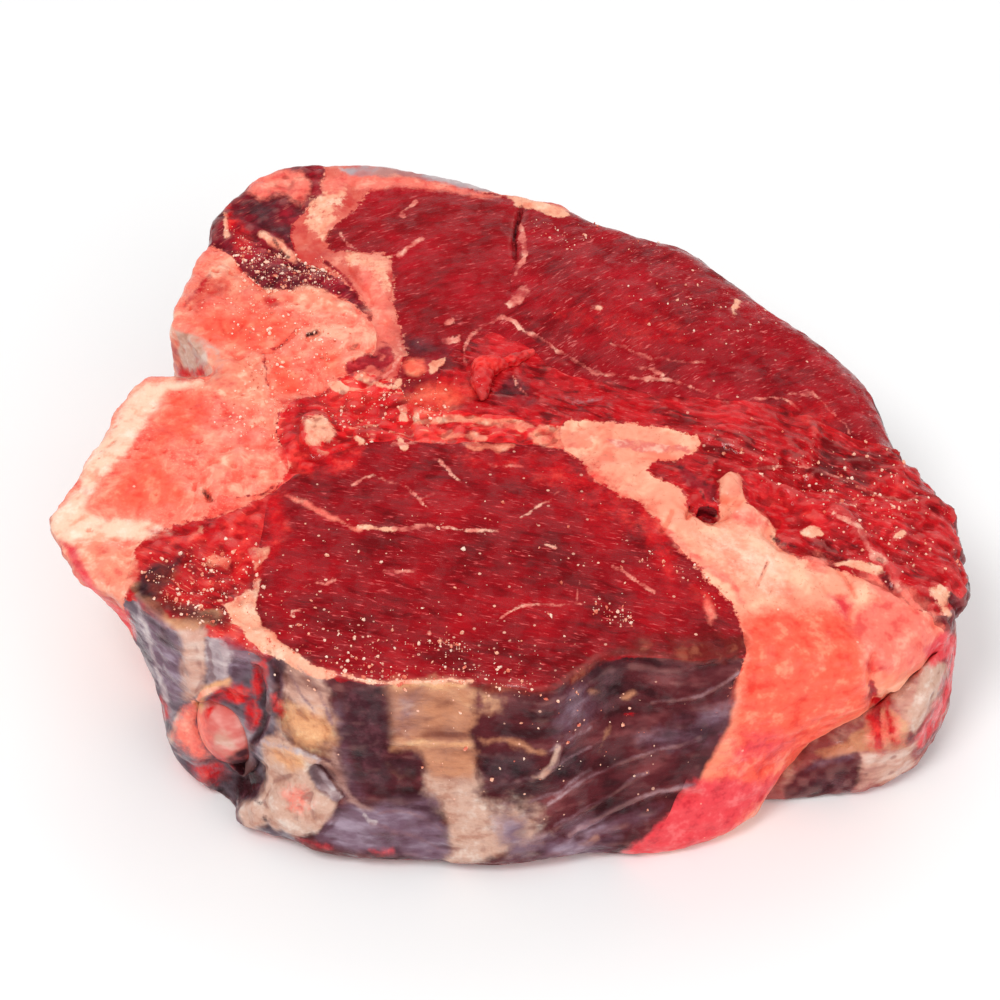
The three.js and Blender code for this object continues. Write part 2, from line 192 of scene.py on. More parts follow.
def smoothLine(points, step):
    # a centripetal Catmull-Rom curve through plan points, sampled about every step mm
    knots = np.array(points, dtype=float)
    knots = np.vstack([2 * knots[0] - knots[1], knots, 2 * knots[-1] - knots[-2]])
    out = []
    for i in range(1, len(knots) - 2):
        p0, p1, p2, p3 = knots[i - 1 : i + 3]
        t1 = max(np.linalg.norm(p1 - p0), 1e-6) ** 0.5
        t2 = t1 + max(np.linalg.norm(p2 - p1), 1e-6) ** 0.5
        t3 = t2 + max(np.linalg.norm(p3 - p2), 1e-6) ** 0.5
        count = max(2, int(np.linalg.norm(p2 - p1) / step))
        for t in np.linspace(t1, t2, count, endpoint=False):
            a1 = p0 * (t1 - t) / t1 + p1 * t / t1
            a2 = p1 * (t2 - t) / (t2 - t1) + p2 * (t - t1) / (t2 - t1)
            a3 = p2 * (t3 - t) / (t3 - t2) + p3 * (t - t2) / (t3 - t2)
            b1 = a1 * (t2 - t) / t2 + a2 * t / t2
            b2 = a2 * (t3 - t) / (t3 - t1) + a3 * (t - t1) / (t3 - t1)
            out.append(b1 * (t2 - t) / (t2 - t1) + b2 * (t - t1) / (t2 - t1))
    out.append(knots[-2])
    return np.array(out)


def newMesh(name, points, faces):
    mesh = bpy.data.meshes.new(name)
    mesh.from_pydata([tuple(p) for p in points], [], [tuple(f) for f in faces])
    mesh.validate()
    return mesh


def newObject(name, mesh):
    thing = bpy.data.objects.new(name, mesh)
    bpy.context.scene.collection.objects.link(thing)
    return thing


def readAll(items, name, width=1, kind=np.int32):
    # one property of all vertices, edges, loops or faces as an array of rows
    flat = np.empty(len(items) * width, dtype=kind)
    items.foreach_get(name, flat)
    return flat.reshape(-1, width) if width > 1 else flat


def meshPoints(mesh):
    return readAll(mesh.vertices, "co", 3, float)


def setPoints(mesh, points):
    mesh.vertices.foreach_set("co", np.ascontiguousarray(points, dtype=np.float32).ravel())
    mesh.update()


def meshNormals(mesh):
    return readAll(mesh.vertex_normals, "vector", 3, np.float32).astype(float)


def meshEdges(mesh):
    return readAll(mesh.edges, "vertices", 2)


def toPlan(points):
    return points / millimetre - planShift


def fromPlan(points):
    return (points + planShift) * millimetre


def spread(values, mesh, rounds):
    # averages each vertex's row with its neighbours', rounds times
    count = len(values)
    a, b = meshEdges(mesh).T
    degree = np.bincount(a, minlength=count) + np.bincount(b, minlength=count) + 1.0
    for _ in range(rounds):
        total = values.copy()
        for column in range(values.shape[1]):
            source = values[:, column]
            total[:, column] += np.bincount(a, source[b], count) + np.bincount(b, source[a], count)
        values = total / degree[:, None]
    return values


def broadNormals(mesh, rounds):
    normals = spread(meshNormals(mesh), mesh, rounds)
    return normals / np.linalg.norm(normals, axis=1)[:, None]


def smoothKeepingEdges(mesh, rounds, crispness):
    points = meshPoints(mesh)
    a, b = meshEdges(mesh).T
    count = len(points)
    for _ in range(rounds):
        normals = broadNormals(mesh, 2)
        weight = np.clip(np.einsum("ij,ij->i", normals[a], normals[b]), 0, 1) ** crispness
        total = np.bincount(a, weight, count) + np.bincount(b, weight, count) + 0.3
        moved = 0.3 * points
        for axis in range(3):
            source = points[:, axis]
            moved[:, axis] += np.bincount(a, weight * source[b], count)
            moved[:, axis] += np.bincount(b, weight * source[a], count)
        points = moved / total[:, None]
        setPoints(mesh, points)


def applied(thing):
    # the object's mesh with its modifiers baked in, as a plain mesh
    depsgraph = bpy.context.evaluated_depsgraph_get()
    mesh = bpy.data.meshes.new_from_object(thing.evaluated_get(depsgraph))
    thing.modifiers.clear()
    old = thing.data
    thing.data = mesh
    bpy.data.meshes.remove(old)
    return mesh


def weldedArrays(node):
    # a node's vertices welded by place, with its faces
    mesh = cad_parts[node].data
    points = meshPoints(mesh)
    keys, where = np.unique(np.round(points / 1e-6).astype(np.int64), axis=0, return_inverse=True)
    where = where.ravel()
    faces = []
    for face in mesh.polygons:
        corners = [int(where[v]) for v in face.vertices]
        if len(set(corners)) == len(corners):
            faces.append(corners)
    welded = np.zeros((len(keys), 3))
    welded[where] = points
    return welded, faces


def joined(parts):
    # several pairs of points and faces as one pair
    allFaces, start = [], 0
    for points, faces in parts:
        allFaces.extend([[v + start for v in face] for face in faces])
        start += len(points)
    return np.vstack([points for points, faces in parts]), allFaces


def swollenCopy(name, nodes, swell):
    parts = []
    for node in nodes:
        points, faces = weldedArrays(node)
        mesh = newMesh("scratch", points, faces)
        parts.append((meshPoints(mesh) + meshNormals(mesh) * swell, faces))
        bpy.data.meshes.remove(mesh)
    return newObject(name, newMesh(name, *joined(parts)))


def treeOfFaces(parts):
    points, faces = joined(parts)
    return BVHTree.FromPolygons([Vector(p) for p in points], faces)


def treeOfPoints(things):
    points = np.vstack([meshPoints(thing.data) for thing in things])
    tree = KDTree(len(points))
    for number, point in enumerate(points):
        tree.insert(point, number)
    tree.balance()
    return tree


def remeshed(thing, voxel):
    modifier = thing.modifiers.new("voxels", "REMESH")
    modifier.mode = "VOXEL"
    modifier.voxel_size = voxel
    modifier.adaptivity = 0.0
    return applied(thing)


# the whole steak as one closed skin round its ten large pieces, which is carved and then cut apart
bodyNodes = [
    "bone", "back_muscle", "strip_loin", "fat_kernel", "stem_tissue",
    "seam_fat", "side_muscle", "tenderloin", "rump_muscle", "flank_muscle",
]
skinShape = {"swell": 0.00022, "voxel": 0.00065, "rounds": 12, "crispness": 5}

skin = swollenCopy("skin", bodyNodes, skinShape["swell"])
remeshed(skin, skinShape["voxel"])
smoothKeepingEdges(skin.data, skinShape["rounds"], skinShape["crispness"])
print("skin:", len(skin.data.vertices), "vertices")


def nearestNode(points, nodes):
    # for each point the number of the node whose surface is closest
    parts = [weldedArrays(node) for node in nodes]
    faceNode = [number for number, (_, faces) in enumerate(parts) for _ in faces]
    tree = treeOfFaces(parts)
    return np.array([faceNode[tree.find_nearest(Vector(p))[2]] for p in points])


def seenFromShot(points, tree):
    # 1 where nothing stands between the camera and the point
    origin = cameraPlace()
    slack = 1.5 * millimetre
    seen = np.zeros((len(points), 1))
    for i, point in enumerate(points):
        way = Vector(point) - origin
        seen[i] = tree.ray_cast(origin, way.normalized(), way.length - slack)[0] is None
    return seen


def objectTree(things):
    return treeOfFaces(
        [(meshPoints(thing.data), [face.vertices for face in thing.data.polygons]) for thing in things]
    )


def markGap(spots, mark, swing):
    # how far inside a mark each pixel spot lies; outside it is negative, and swing thickens a line
    if "patch" in mark:
        return patchDepth(spots, mark["patch"])
    return mark["radius"] * (1 + swing) - lineDistance(spots, mark["line"])


def markShare(spots, mark, soft, swing=None):
    # 0 outside a mark, 0.5 on its border and 1 well inside, over soft pixels to each side
    outline = np.array(mark.get("patch") or mark["line"], dtype=float)
    reach = soft + 2 * mark.get("radius", 0.0)
    near = (spots > outline.min(0) - reach).all(1) & (spots < outline.max(0) + reach).all(1)
    share = np.zeros(len(spots))
    if near.any():
        gap = markGap(spots[near], mark, 0.0 if swing is None else swing[near])
        share[near] = np.clip(0.5 + gap / (2 * soft), 0, 1)
    return share * mark.get("amount", 1.0)


def pairs(numbers):
    return list(zip(numbers[::2], numbers[1::2]))


def line(radius, *numbers, **more):
    # a mark along a line, whose points are given as x, y, x, y
    return {"line": pairs(numbers), "radius": radius, **more}


def patch(*numbers, **more):
    return {"patch": pairs(numbers), **more}


places = {  # lines and outlines that are both painted and carved
    "archLine": [236, 498, 262, 494, 276, 486],
    "kernelCrack": [768, 562, 764, 572, 758, 584],
    "filmHollow": [308, 768, 316, 764, 330, 778, 344, 796, 336, 802, 320, 792, 311, 780],
    "creaseHigh": [739, 672, 722, 683, 700, 695, 676, 700, 652, 702],
    "creaseMiddle": [700, 738, 679, 746, 646, 754, 613, 767, 592, 776, 570, 789, 548, 804],
    "creaseFar": [648, 772, 624, 785, 605, 800, 579, 813, 555, 828],
}

# where each tissue lies over the piece's own, read off the photograph in its pixels
paint = {}
paint["ash"] = {
    "westColumn": patch(176, 626, 190, 618, 206, 624, 207, 660, 204, 692, 190, 700, 178, 690, soft=8),
    "knobPale": patch(208, 734, 220, 728, 236, 738, 240, 750, 226, 755, 212, 750, soft=8, amount=0.72),
    "gristleRim": line(2.4, 182, 710, 176, 724, 172, 740),
    "fascia": patch(
        282, 655, 300, 664, 322, 676, 330, 690, 334, 712, 318, 724, 298, 708, 283, 692, soft=9, amount=0.85),
    "fasciaEast": patch(322, 720, 336, 716, 345, 760, 352, 790, 336, 790, 326, 760, soft=12, amount=0.7),
    "tailFilm": patch(
        858, 752, 880, 748, 908, 745, 914, 765, 900, 780, 884, 786, 858, 790, 856, 770, soft=9, amount=0.76),
    "canalRim": line(4, 204, 342, 214, 352, 222, 364, 216, 374),
    "filmThread": line(2.2, 322, 762, 338, 772, 352, 796, 366, 812, 372, 822),
    "filmThreadLow": line(1.4, 350, 800, 368, 806, 386, 812),
}
paint["tan"] = {
    "panel": patch(
        386, 684, 402, 681, 440, 680, 470, 682, 473, 705, 472, 740, 477, 760, 474, 780, 455, 782, 434, 780,
        424, 768, 422, 752, 396, 752, 391, 738, 390, 720, 388, 700, soft=15),
    "panelEast": patch(476, 684, 498, 690, 510, 698, 506, 716, 490, 722, 477, 714, soft=12, amount=0.56),
    "panelBelow": line(3, 482, 738, 505, 741, 528, 748, 544, 753, soft=7, amount=0.8),
    "panelBits": patch(388, 762, 404, 764, 418, 760, 414, 780, 396, 782, soft=12, amount=0.66),
    "tailCream": patch(
        812, 750, 840, 742, 862, 728, 874, 712, 890, 708, 908, 725, 908, 748, 880, 750, 852, 752, 826, 756,
        soft=6),
    "tailYellow": patch(880, 786, 895, 778, 903, 784, 892, 794),
    "barkWest": line(6, 140, 590, 150, 604, 170, 622, 192, 622, 212, 616),
    "curlFoot": line(2.4, 590, 693, 598, 692),
    "curlTwo": line(1.8, 624, 699, 634, 695),
    "wallBloom": line(1.6, 612, 728, 604, 738, 600, 750, soft=7, amount=0.6),
    "curlLow": line(1.6, 580, 845, 590, 842, 597, 838),
}
paint["cream"] = {
    "lowBand": patch(
        424, 776, 478, 772, 482, 795, 491, 806, 495, 822, 490, 838, 502, 850, 480, 864, 446, 868, 449, 845,
        446, 820, 436, 800, 424, 790, soft=17),
    "lowBandEast": patch(
        476, 802, 500, 798, 524, 802, 545, 810, 547, 832, 540, 850, 505, 856, 480, 858, soft=18, amount=0.76),
    "fatCurl": line(2.4, 533, 777, 543, 776, 551, 768, 556, 757, 559, 747, soft=4),
    "lumps": patch(
        262, 742, 280, 732, 300, 750, 318, 762, 308, 772, 316, 790, 336, 803, 333, 820, 316, 836, 296, 839,
        272, 828, 262, 812, 256, 800, 268, 778),
    "tailBand": patch(922, 666, 940, 662, 948, 668, 938, 694, 925, 716, 914, 734, 908, 716, 916, 690, soft=5),
    "tip": patch(240, 802, 256, 798, 270, 812, 266, 826, 248, 830, 236, 816),
    "canal": patch(174, 332, 190, 332, 208, 342, 208, 366, 196, 376, 182, 368, 178, 352, soft=5),
}
paint["honey"] = {
    "gold": patch(
        280, 704, 300, 704, 320, 712, 334, 722, 335, 738, 326, 748, 308, 750, 294, 743, 284, 728, soft=16,
        amount=0.9),
    "panelStep": line(2.4, 392, 745, 430, 744, 472, 744, soft=7, amount=0.8),
    "panelTop": line(2, 396, 686, 430, 684, 466, 685, soft=5),
    "knobFat": line(4.2, 199, 712, 201, 698, 207, 689, 216, 684, 226, 682, soft=5),
    "lumpGold": patch(268, 744, 290, 742, 308, 756, 306, 770, 286, 770, 272, 762, soft=9, amount=0.72),
}
paint["membrane"] = {
    "kernelWall": patch(
        737, 672, 736, 700, 727, 728, 711, 759, 699, 789, 686, 810, 655, 812, 662, 780, 685, 740, 700, 700,
        712, 668, only="fat_kernel", soft=6),
    "underLip": line(4, 588, 676, 606, 665, 646, 663, 700, 671, 736, 664, only="strip_loin"),
    "tailMeat": patch(
        782, 786, 798, 768, 828, 752, 856, 746, 864, 760, 858, 782, 848, 796, 815, 801, 787, 800, soft=5),
}
paint["violet"] = {
    "bandDark": line(
        5, 246, 656, 262, 656, 278, 664, 281, 684, 273, 702, 267, 720, 262, 734, 252, 748, amount=0.7),
    "low": patch(
        336, 815, 350, 802, 372, 806, 400, 796, 436, 796, 446, 830, 450, 850, 440, 866, 400, 858, 360, 854,
        335, 848, 318, 838, soft=9),
    "panelMiddle": patch(
        334, 705, 345, 705, 352, 760, 372, 800, 350, 800, 338, 770, 333, 740, soft=14, amount=0.7),
    "westFilm": patch(
        138, 598, 150, 608, 172, 628, 182, 640, 181, 668, 184, 690, 177, 702, 160, 684, 148, 650, 140, 625,
        soft=7),
    "foldEast": patch(226, 640, 240, 645, 252, 655, 244, 680, 232, 680, 224, 660, soft=8),
    "rightBand": patch(
        640, 742, 670, 726, 700, 712, 735, 700, 722, 735, 700, 745, 672, 748, soft=18, amount=0.72),
    "highBand": patch(
        560, 690, 590, 672, 598, 690, 592, 715, 570, 740, 545, 735, 548, 708, soft=20, amount=0.62),
    "lowEast": patch(
        560, 825, 600, 815, 640, 806, 660, 806, 640, 828, 600, 842, 560, 848, soft=14, amount=0.62),
    "lowGap": patch(494, 816, 510, 812, 529, 815, 531, 842, 512, 850, 497, 844, soft=13, amount=0.8),
    "panelStain": patch(386, 690, 418, 688, 426, 704, 420, 722, 408, 738, 390, 738, soft=15, amount=0.56),
    "underEdge": patch(505, 838, 560, 836, 620, 840, 600, 858, 540, 860, 505, 858, soft=12, amount=0.85),
    "tailMuscle": line(3, 806, 768, 830, 758, 852, 756, soft=7, amount=0.7),
}
# deep maroon of the walls and muscle, with painted shade in the hollow below the knob and painted shadow under
# the loose shred
paint["darkTissueAndShade"] = {
    "panelWest": patch(
        340, 682, 382, 686, 388, 705, 390, 735, 388, 760, 400, 790, 372, 790, 350, 760, 342, 710, soft=12,
        amount=0.85),
    "panelMid": patch(388, 754, 420, 754, 422, 770, 418, 785, 395, 782, 388, 770, soft=8, amount=0.75),
    "panelEast": patch(480, 754, 510, 752, 540, 760, 530, 780, 500, 784, 480, 778, soft=9, amount=0.8),
    "underCurl": patch(548, 770, 562, 752, 580, 745, 590, 765, 575, 780, 555, 785, soft=9, amount=0.8),
    "wallHigh": patch(590, 668, 618, 660, 622, 690, 612, 712, 596, 712, soft=14, amount=0.75),
    "backEdge": patch(
        134, 592, 138, 572, 152, 562, 170, 560, 182, 552, 178, 566, 166, 584, 160, 604, 140, 600, soft=7,
        amount=0.85),
    "backDark": patch(160, 600, 200, 604, 230, 618, 225, 630, 190, 622, 162, 612, soft=8, amount=0.7),
    "sideDark": patch(
        250, 200, 262, 196, 290, 212, 304, 236, 326, 258, 340, 280, 318, 268, 298, 250, 272, 236, 252, 226,
        only="side_muscle", soft=8, amount=0.56),
    "bandDark": line(4.2, 258, 654, 268, 658, 279, 668, 278, 690, 269, 708, soft=6, amount=0.9),
    "bandDarkLow": line(4.2, 267, 712, 261, 734, 250, 748, 240, 756, soft=6, amount=0.9),
    # these two: painted shade in the hollow below the knob
    "hollow": patch(226, 760, 244, 755, 258, 764, 262, 780, 254, 796, 240, 800, 230, 790, 236, 776, soft=7),
    "hollowWest": line(4.5, 206, 776, 218, 790, 234, 802, soft=6, amount=0.85),
    "tailShade": patch(786, 792, 804, 780, 838, 772, 852, 776, 844, 792, 815, 800, soft=8, amount=0.66),
    # painted shadow under the loose shred
    "shredShade": patch(488, 396, 500, 402, 540, 404, 532, 380, 512, 372, 500, 380, soft=8, amount=0.7),
    "tenderShade": patch(395, 332, 440, 336, 460, 355, 440, 362, 400, 356, soft=12, amount=0.6),
}
paint["dried"] = {
    "frontEdge": patch(
        560, 676, 600, 646, 640, 632, 690, 632, 740, 634, 752, 646, 735, 658, 700, 664, 646, 652, 604, 658,
        578, 674, 556, 690, 540, 692, soft=12, amount=0.66),
    "lipEast": patch(
        684, 646, 700, 640, 725, 638, 745, 632, 752, 645, 735, 657, 706, 662, 688, 660, soft=5, amount=0.9),
    "lip": line(
        3.4, 470, 684, 500, 690, 530, 694, 558, 690, 578, 676, 592, 664, 613, 652, 646, 650, 680, 656, 705, 661,
        730, 657, 750, 648, soft=6),
    "stripWest": line(4, 246, 596, 252, 580, 262, 556, soft=5, amount=0.7),
    "backBark": patch(
        140, 572, 165, 562, 182, 570, 170, 590, 190, 606, 236, 616, 228, 628, 180, 620, 146, 596, soft=8,
        amount=0.7),
}
paint["fat"] = {
    "marbleMiddle": line(1.9, 358, 527, 370, 526, 384, 528, 394, 527, soft=3),
    "seamPaleTop": patch(
        303, 204, 312, 194, 326, 186, 338, 176, 350, 180, 348, 200, 338, 222, 324, 242, 310, 238, 302, 222,
        soft=8, amount=0.61),
    "seamPaleLow": patch(
        338, 250, 352, 248, 372, 256, 392, 254, 390, 276, 392, 294, 380, 298, 370, 284, 356, 272, 344, 262,
        soft=7, amount=0.6),
    "frontRim": patch(
        224, 604, 236, 597, 246, 589, 257, 590, 256, 606, 262, 624, 282, 643, 302, 657, 322, 667, 345, 676,
        326, 680, 303, 673, 282, 661, 262, 650, 244, 634, 232, 622),
    "rimThread": line(2, 345, 676, 362, 680, 384, 683, 420, 682, 455, 679, 472, 682),
    "westBits": patch(244, 548, 256, 545, 270, 548, 268, 558, 258, 568, 248, 556),
    "westThread": line(2.4, 258, 580, 255, 592),
    "backChip": patch(220, 532, 232, 534, 235, 541, 226, 544, 218, 540),
    "backBits": line(3, 200, 532, 192, 536),
    "sideSpike": line(3, 224, 216, 227, 226, 229, 234),
    "rearFat": patch(505, 192, 520, 193, 540, 200, 560, 207, 572, 214, 560, 217, 540, 211, 518, 206),
    "lumpCream": patch(427, 369, 431, 361, 444, 355, 438, 367, 430, 374),
    "chipWest": line(2.4, 379, 384, 389, 385),
    "chipEast": line(2.2, 393, 386, 399, 381),
    "stemRound": patch(
        303, 420, 310, 415, 322, 413, 329, 420, 336, 437, 328, 443, 315, 448, 308, 446, 304, 438, soft=6,
        amount=0.8),
    "stemChips": line(2, 318, 451, 326, 453, soft=3),
    "stemDot": line(4, 356, 437, 361, 441),
    "stemDotEast": line(3, 399, 441, 404, 446),
    "mushPale": line(5.5, 332, 384, 341, 390),
    "mushPaleEast": line(3, 403, 408, 402, 418),
    "mushPaleFar": line(3, 418, 411, 415, 419),
    "flankFlake": patch(800, 532, 812, 526, 821, 530, 824, 537, 812, 540, 803, 537),
    "flankChip": line(3, 897, 537, 903, 536),
    "flankShelf": patch(836, 566, 850, 560, 862, 561, 880, 567, 888, 576, 872, 575, 858, 570),
    "flankTip": patch(
        928, 589, 944, 586, 951, 595, 948, 606, 953, 618, 945, 622, 938, 612, 932, 601, soft=6, amount=0.8),
    "rumpCrumb": line(4, 737, 303, 735, 310),
    "seamSeed": line(3, 596, 309, 598, 311),
    "gristleEdge": line(3, 196, 700, 204, 692, 216, 688),
}
paint["ivory"] = {
    "marrowRimWest": patch(
        50, 524, 62, 505, 80, 489, 84, 470, 100, 441, 112, 427, 126, 402, 134, 389, 148, 384, 182, 380,
        205, 380, 196, 386, 168, 393, 156, 410, 146, 424, 134, 440, 122, 456, 106, 472, 94, 490, 86, 508,
        104, 520, 150, 522, 168, 532, 140, 540, 104, 544, 78, 548, 58, 540, soft=8),
    "kernelCrown": patch(
        690, 528, 720, 522, 762, 530, 790, 556, 800, 590, 760, 600, 710, 560, soft=24, amount=0.6),
}
paint["chalk"] = {
    "canalCorner": patch(
        206, 346, 222, 358, 242, 358, 262, 350, 262, 384, 268, 398, 250, 408, 226, 400, 206, 386, 216, 370,
        soft=8),
    "canalEast": patch(262, 350, 268, 380, 276, 400, 262, 410, 240, 404, 246, 370, soft=10, amount=0.8),
    "boneBand": patch(
        208, 264, 226, 262, 242, 277, 262, 289, 288, 291, 304, 286, 324, 291, 344, 302, 358, 317, 342, 313,
        318, 305, 296, 304, 262, 301, 232, 300, 212, 284, soft=6),
    "boneBandWest": patch(182, 300, 200, 280, 214, 268, 226, 290, 206, 300, 190, 320, soft=8, amount=0.7),
    "boneLumpsLow": patch(210, 478, 214, 466, 226, 456, 240, 450, 240, 462, 228, 472, 216, 480, soft=4),
    "boneLumpEast": patch(262, 470, 282, 462, 284, 474, 270, 482, 256, 486, soft=7, amount=0.9),
    "sideLump": patch(
        74, 545, 92, 541, 118, 547, 134, 556, 140, 570, 134, 588, 118, 600, 104, 592, 88, 578, 76, 560),
    "boneChips": line(5, 300, 330, 296, 318, soft=4),
    "stemEndFat": patch(528, 434, 540, 426, 566, 429, 598, 437, 592, 447, 560, 448, 534, 444, soft=5),
    "stemBand": patch(
        410, 424, 430, 418, 452, 414, 482, 416, 522, 420, 534, 426, 520, 431, 500, 427, 470, 422, 440, 422,
        420, 426, soft=3),
    "stemBits": line(3, 446, 436, 462, 433, 484, 437, soft=4),
    "stemBitsEast": line(2.4, 466, 444, 490, 448, 512, 445, soft=4),
    "sideStrand": line(4, 262, 236, 276, 242, 290, 252, 294, 258, soft=4),
    "backLump": line(6, 212, 560, 222, 562, soft=5),
    "mushPaleLow": line(4, 362, 376, 370, 380, soft=4),
}
paint["coral"] = {
    "kernelSide": patch(
        742, 622, 762, 611, 800, 609, 834, 609, 850, 626, 862, 645, 872, 668, 872, 700, 850, 722, 820, 745,
        795, 768, 775, 785, 760, 802, 735, 828, 706, 846, 690, 840, 712, 800, 730, 760, 738, 700, 744, 660,
        only="fat_kernel", soft=13),
    "boneRed": patch(222, 308, 262, 312, 296, 320, 290, 340, 262, 350, 232, 350, 205, 340, 190, 318, soft=16),
    "boneDisc": patch(270, 362, 286, 358, 298, 368, 300, 388, 286, 396, 272, 388, soft=8),
    "marrow": patch(
        158, 416, 170, 396, 200, 392, 212, 404, 208, 428, 192, 440, 164, 446, 140, 452, 124, 466, 110, 484,
        94, 506, 130, 514, 170, 510, 196, 500, 170, 470, 150, 440, soft=12, amount=0.85),
    "lumpWarm": patch(405, 368, 412, 361, 425, 359, 425, 370, 417, 377, 408, 375, soft=4),
    "pulpEast": patch(400, 398, 430, 384, 466, 380, 470, 396, 450, 412, 420, 414, soft=8, amount=0.8),
    "bonePulp": patch(316, 352, 334, 350, 348, 360, 344, 374, 326, 374, 314, 364, soft=7, amount=0.85),
    "seamRed": line(5, 366, 284, 376, 302, 384, 326, soft=6, amount=0.85),
}
paint["pink"] = {
    "sideCap": patch(
        246, 190, 252, 174, 268, 170, 300, 171, 312, 178, 311, 192, 302, 204, 290, 200, 278, 194, 262, 198,
        soft=7),
    "lobeEast": patch(
        856, 612, 876, 596, 905, 600, 930, 615, 940, 632, 932, 655, 915, 672, 890, 676, 868, 668, 858, 645,
        850, 628, soft=12),
    "lobeHigh": patch(862, 575, 884, 578, 910, 590, 930, 606, 910, 612, 880, 604, soft=9),
    "kernelBlush": patch(800, 556, 820, 552, 838, 566, 826, 580, 806, 574, soft=9, amount=0.7),
    "kernelNorth": patch(728, 520, 742, 506, 762, 512, 770, 526, 750, 530, soft=6, amount=0.8),
    "marbleWest": line(1.6, 288, 497, 302, 501, 316, 508, soft=4),
    "marbleWestLump": line(2.4, 318, 509, 328, 513, 336, 518, soft=4),
    "marbleWestEnd": line(1.3, 338, 519, 350, 526, 360, 529, soft=3),
    "seamMiddle": patch(
        352, 262, 372, 262, 388, 300, 396, 340, 384, 350, 368, 318, 356, 290, soft=9, amount=0.64),
    "seamTop": patch(318, 180, 352, 168, 372, 176, 352, 186, 330, 196, soft=8, amount=0.8),
    "rearBand": patch(352, 176, 400, 178, 460, 186, 500, 196, 470, 194, 400, 188, 356, 188, soft=5),
    "kernelWestEdge": line(3.5, 658, 524, 676, 540, 700, 560, 730, 582, 742, 600, soft=5, amount=0.85),
    "stripShard": patch(704, 594, 710, 600, 716, 616, 710, 626, 703, 612, soft=5, amount=0.9),
    "gristle": patch(
        172, 735, 174, 722, 184, 706, 198, 702, 206, 712, 208, 735, 212, 756, 198, 762, 180, 750, soft=8,
        amount=0.78),
    "tailBlush": patch(864, 716, 884, 704, 906, 716, 908, 744, 880, 748, 862, 744, soft=12, amount=0.6),
    "lumpPink": patch(286, 780, 304, 784, 318, 804, 304, 822, 288, 812, 280, 794, soft=10, amount=0.56),
    "boneWash": patch(200, 400, 240, 410, 270, 430, 262, 460, 220, 450, 196, 430, soft=16, amount=0.7),
}
paint["rose"] = {
    "kernelLow": patch(
        684, 790, 722, 776, 760, 782, 786, 770, 775, 786, 760, 803, 735, 829, 700, 850, 668, 860, 634, 860,
        650, 836, 664, 812, only="fat_kernel", soft=10),
    "kernelMid": patch(730, 740, 760, 725, 800, 742, 780, 765, 740, 772, 722, 765, soft=22, amount=0.75),
    "kernelFoot": patch(
        622, 853, 640, 842, 656, 828, 670, 812, 696, 830, 684, 862, 630, 868, only="strip_loin", soft=5),
    "lowEdge": line(1.8, 296, 838, 312, 845, 330, 849, amount=0.62),
    "lowEdgeEast": line(1.8, 368, 850, 380, 852, 392, 851, amount=0.7),
    "tailTop": patch(924, 650, 940, 634, 957, 636, 958, 652, 946, 664, 930, 668, soft=5),
    "tailRim": line(5, 956, 648, 952, 676, 944, 700, 934, 722, 920, 742, soft=5),
    "sideFlush": patch(60, 540, 76, 548, 84, 570, 102, 598, 128, 612, 136, 640, 112, 612, 80, 580),
    "kernelRed": patch(830, 596, 846, 594, 852, 608, 848, 622, 838, 612, soft=8, amount=0.9),
}
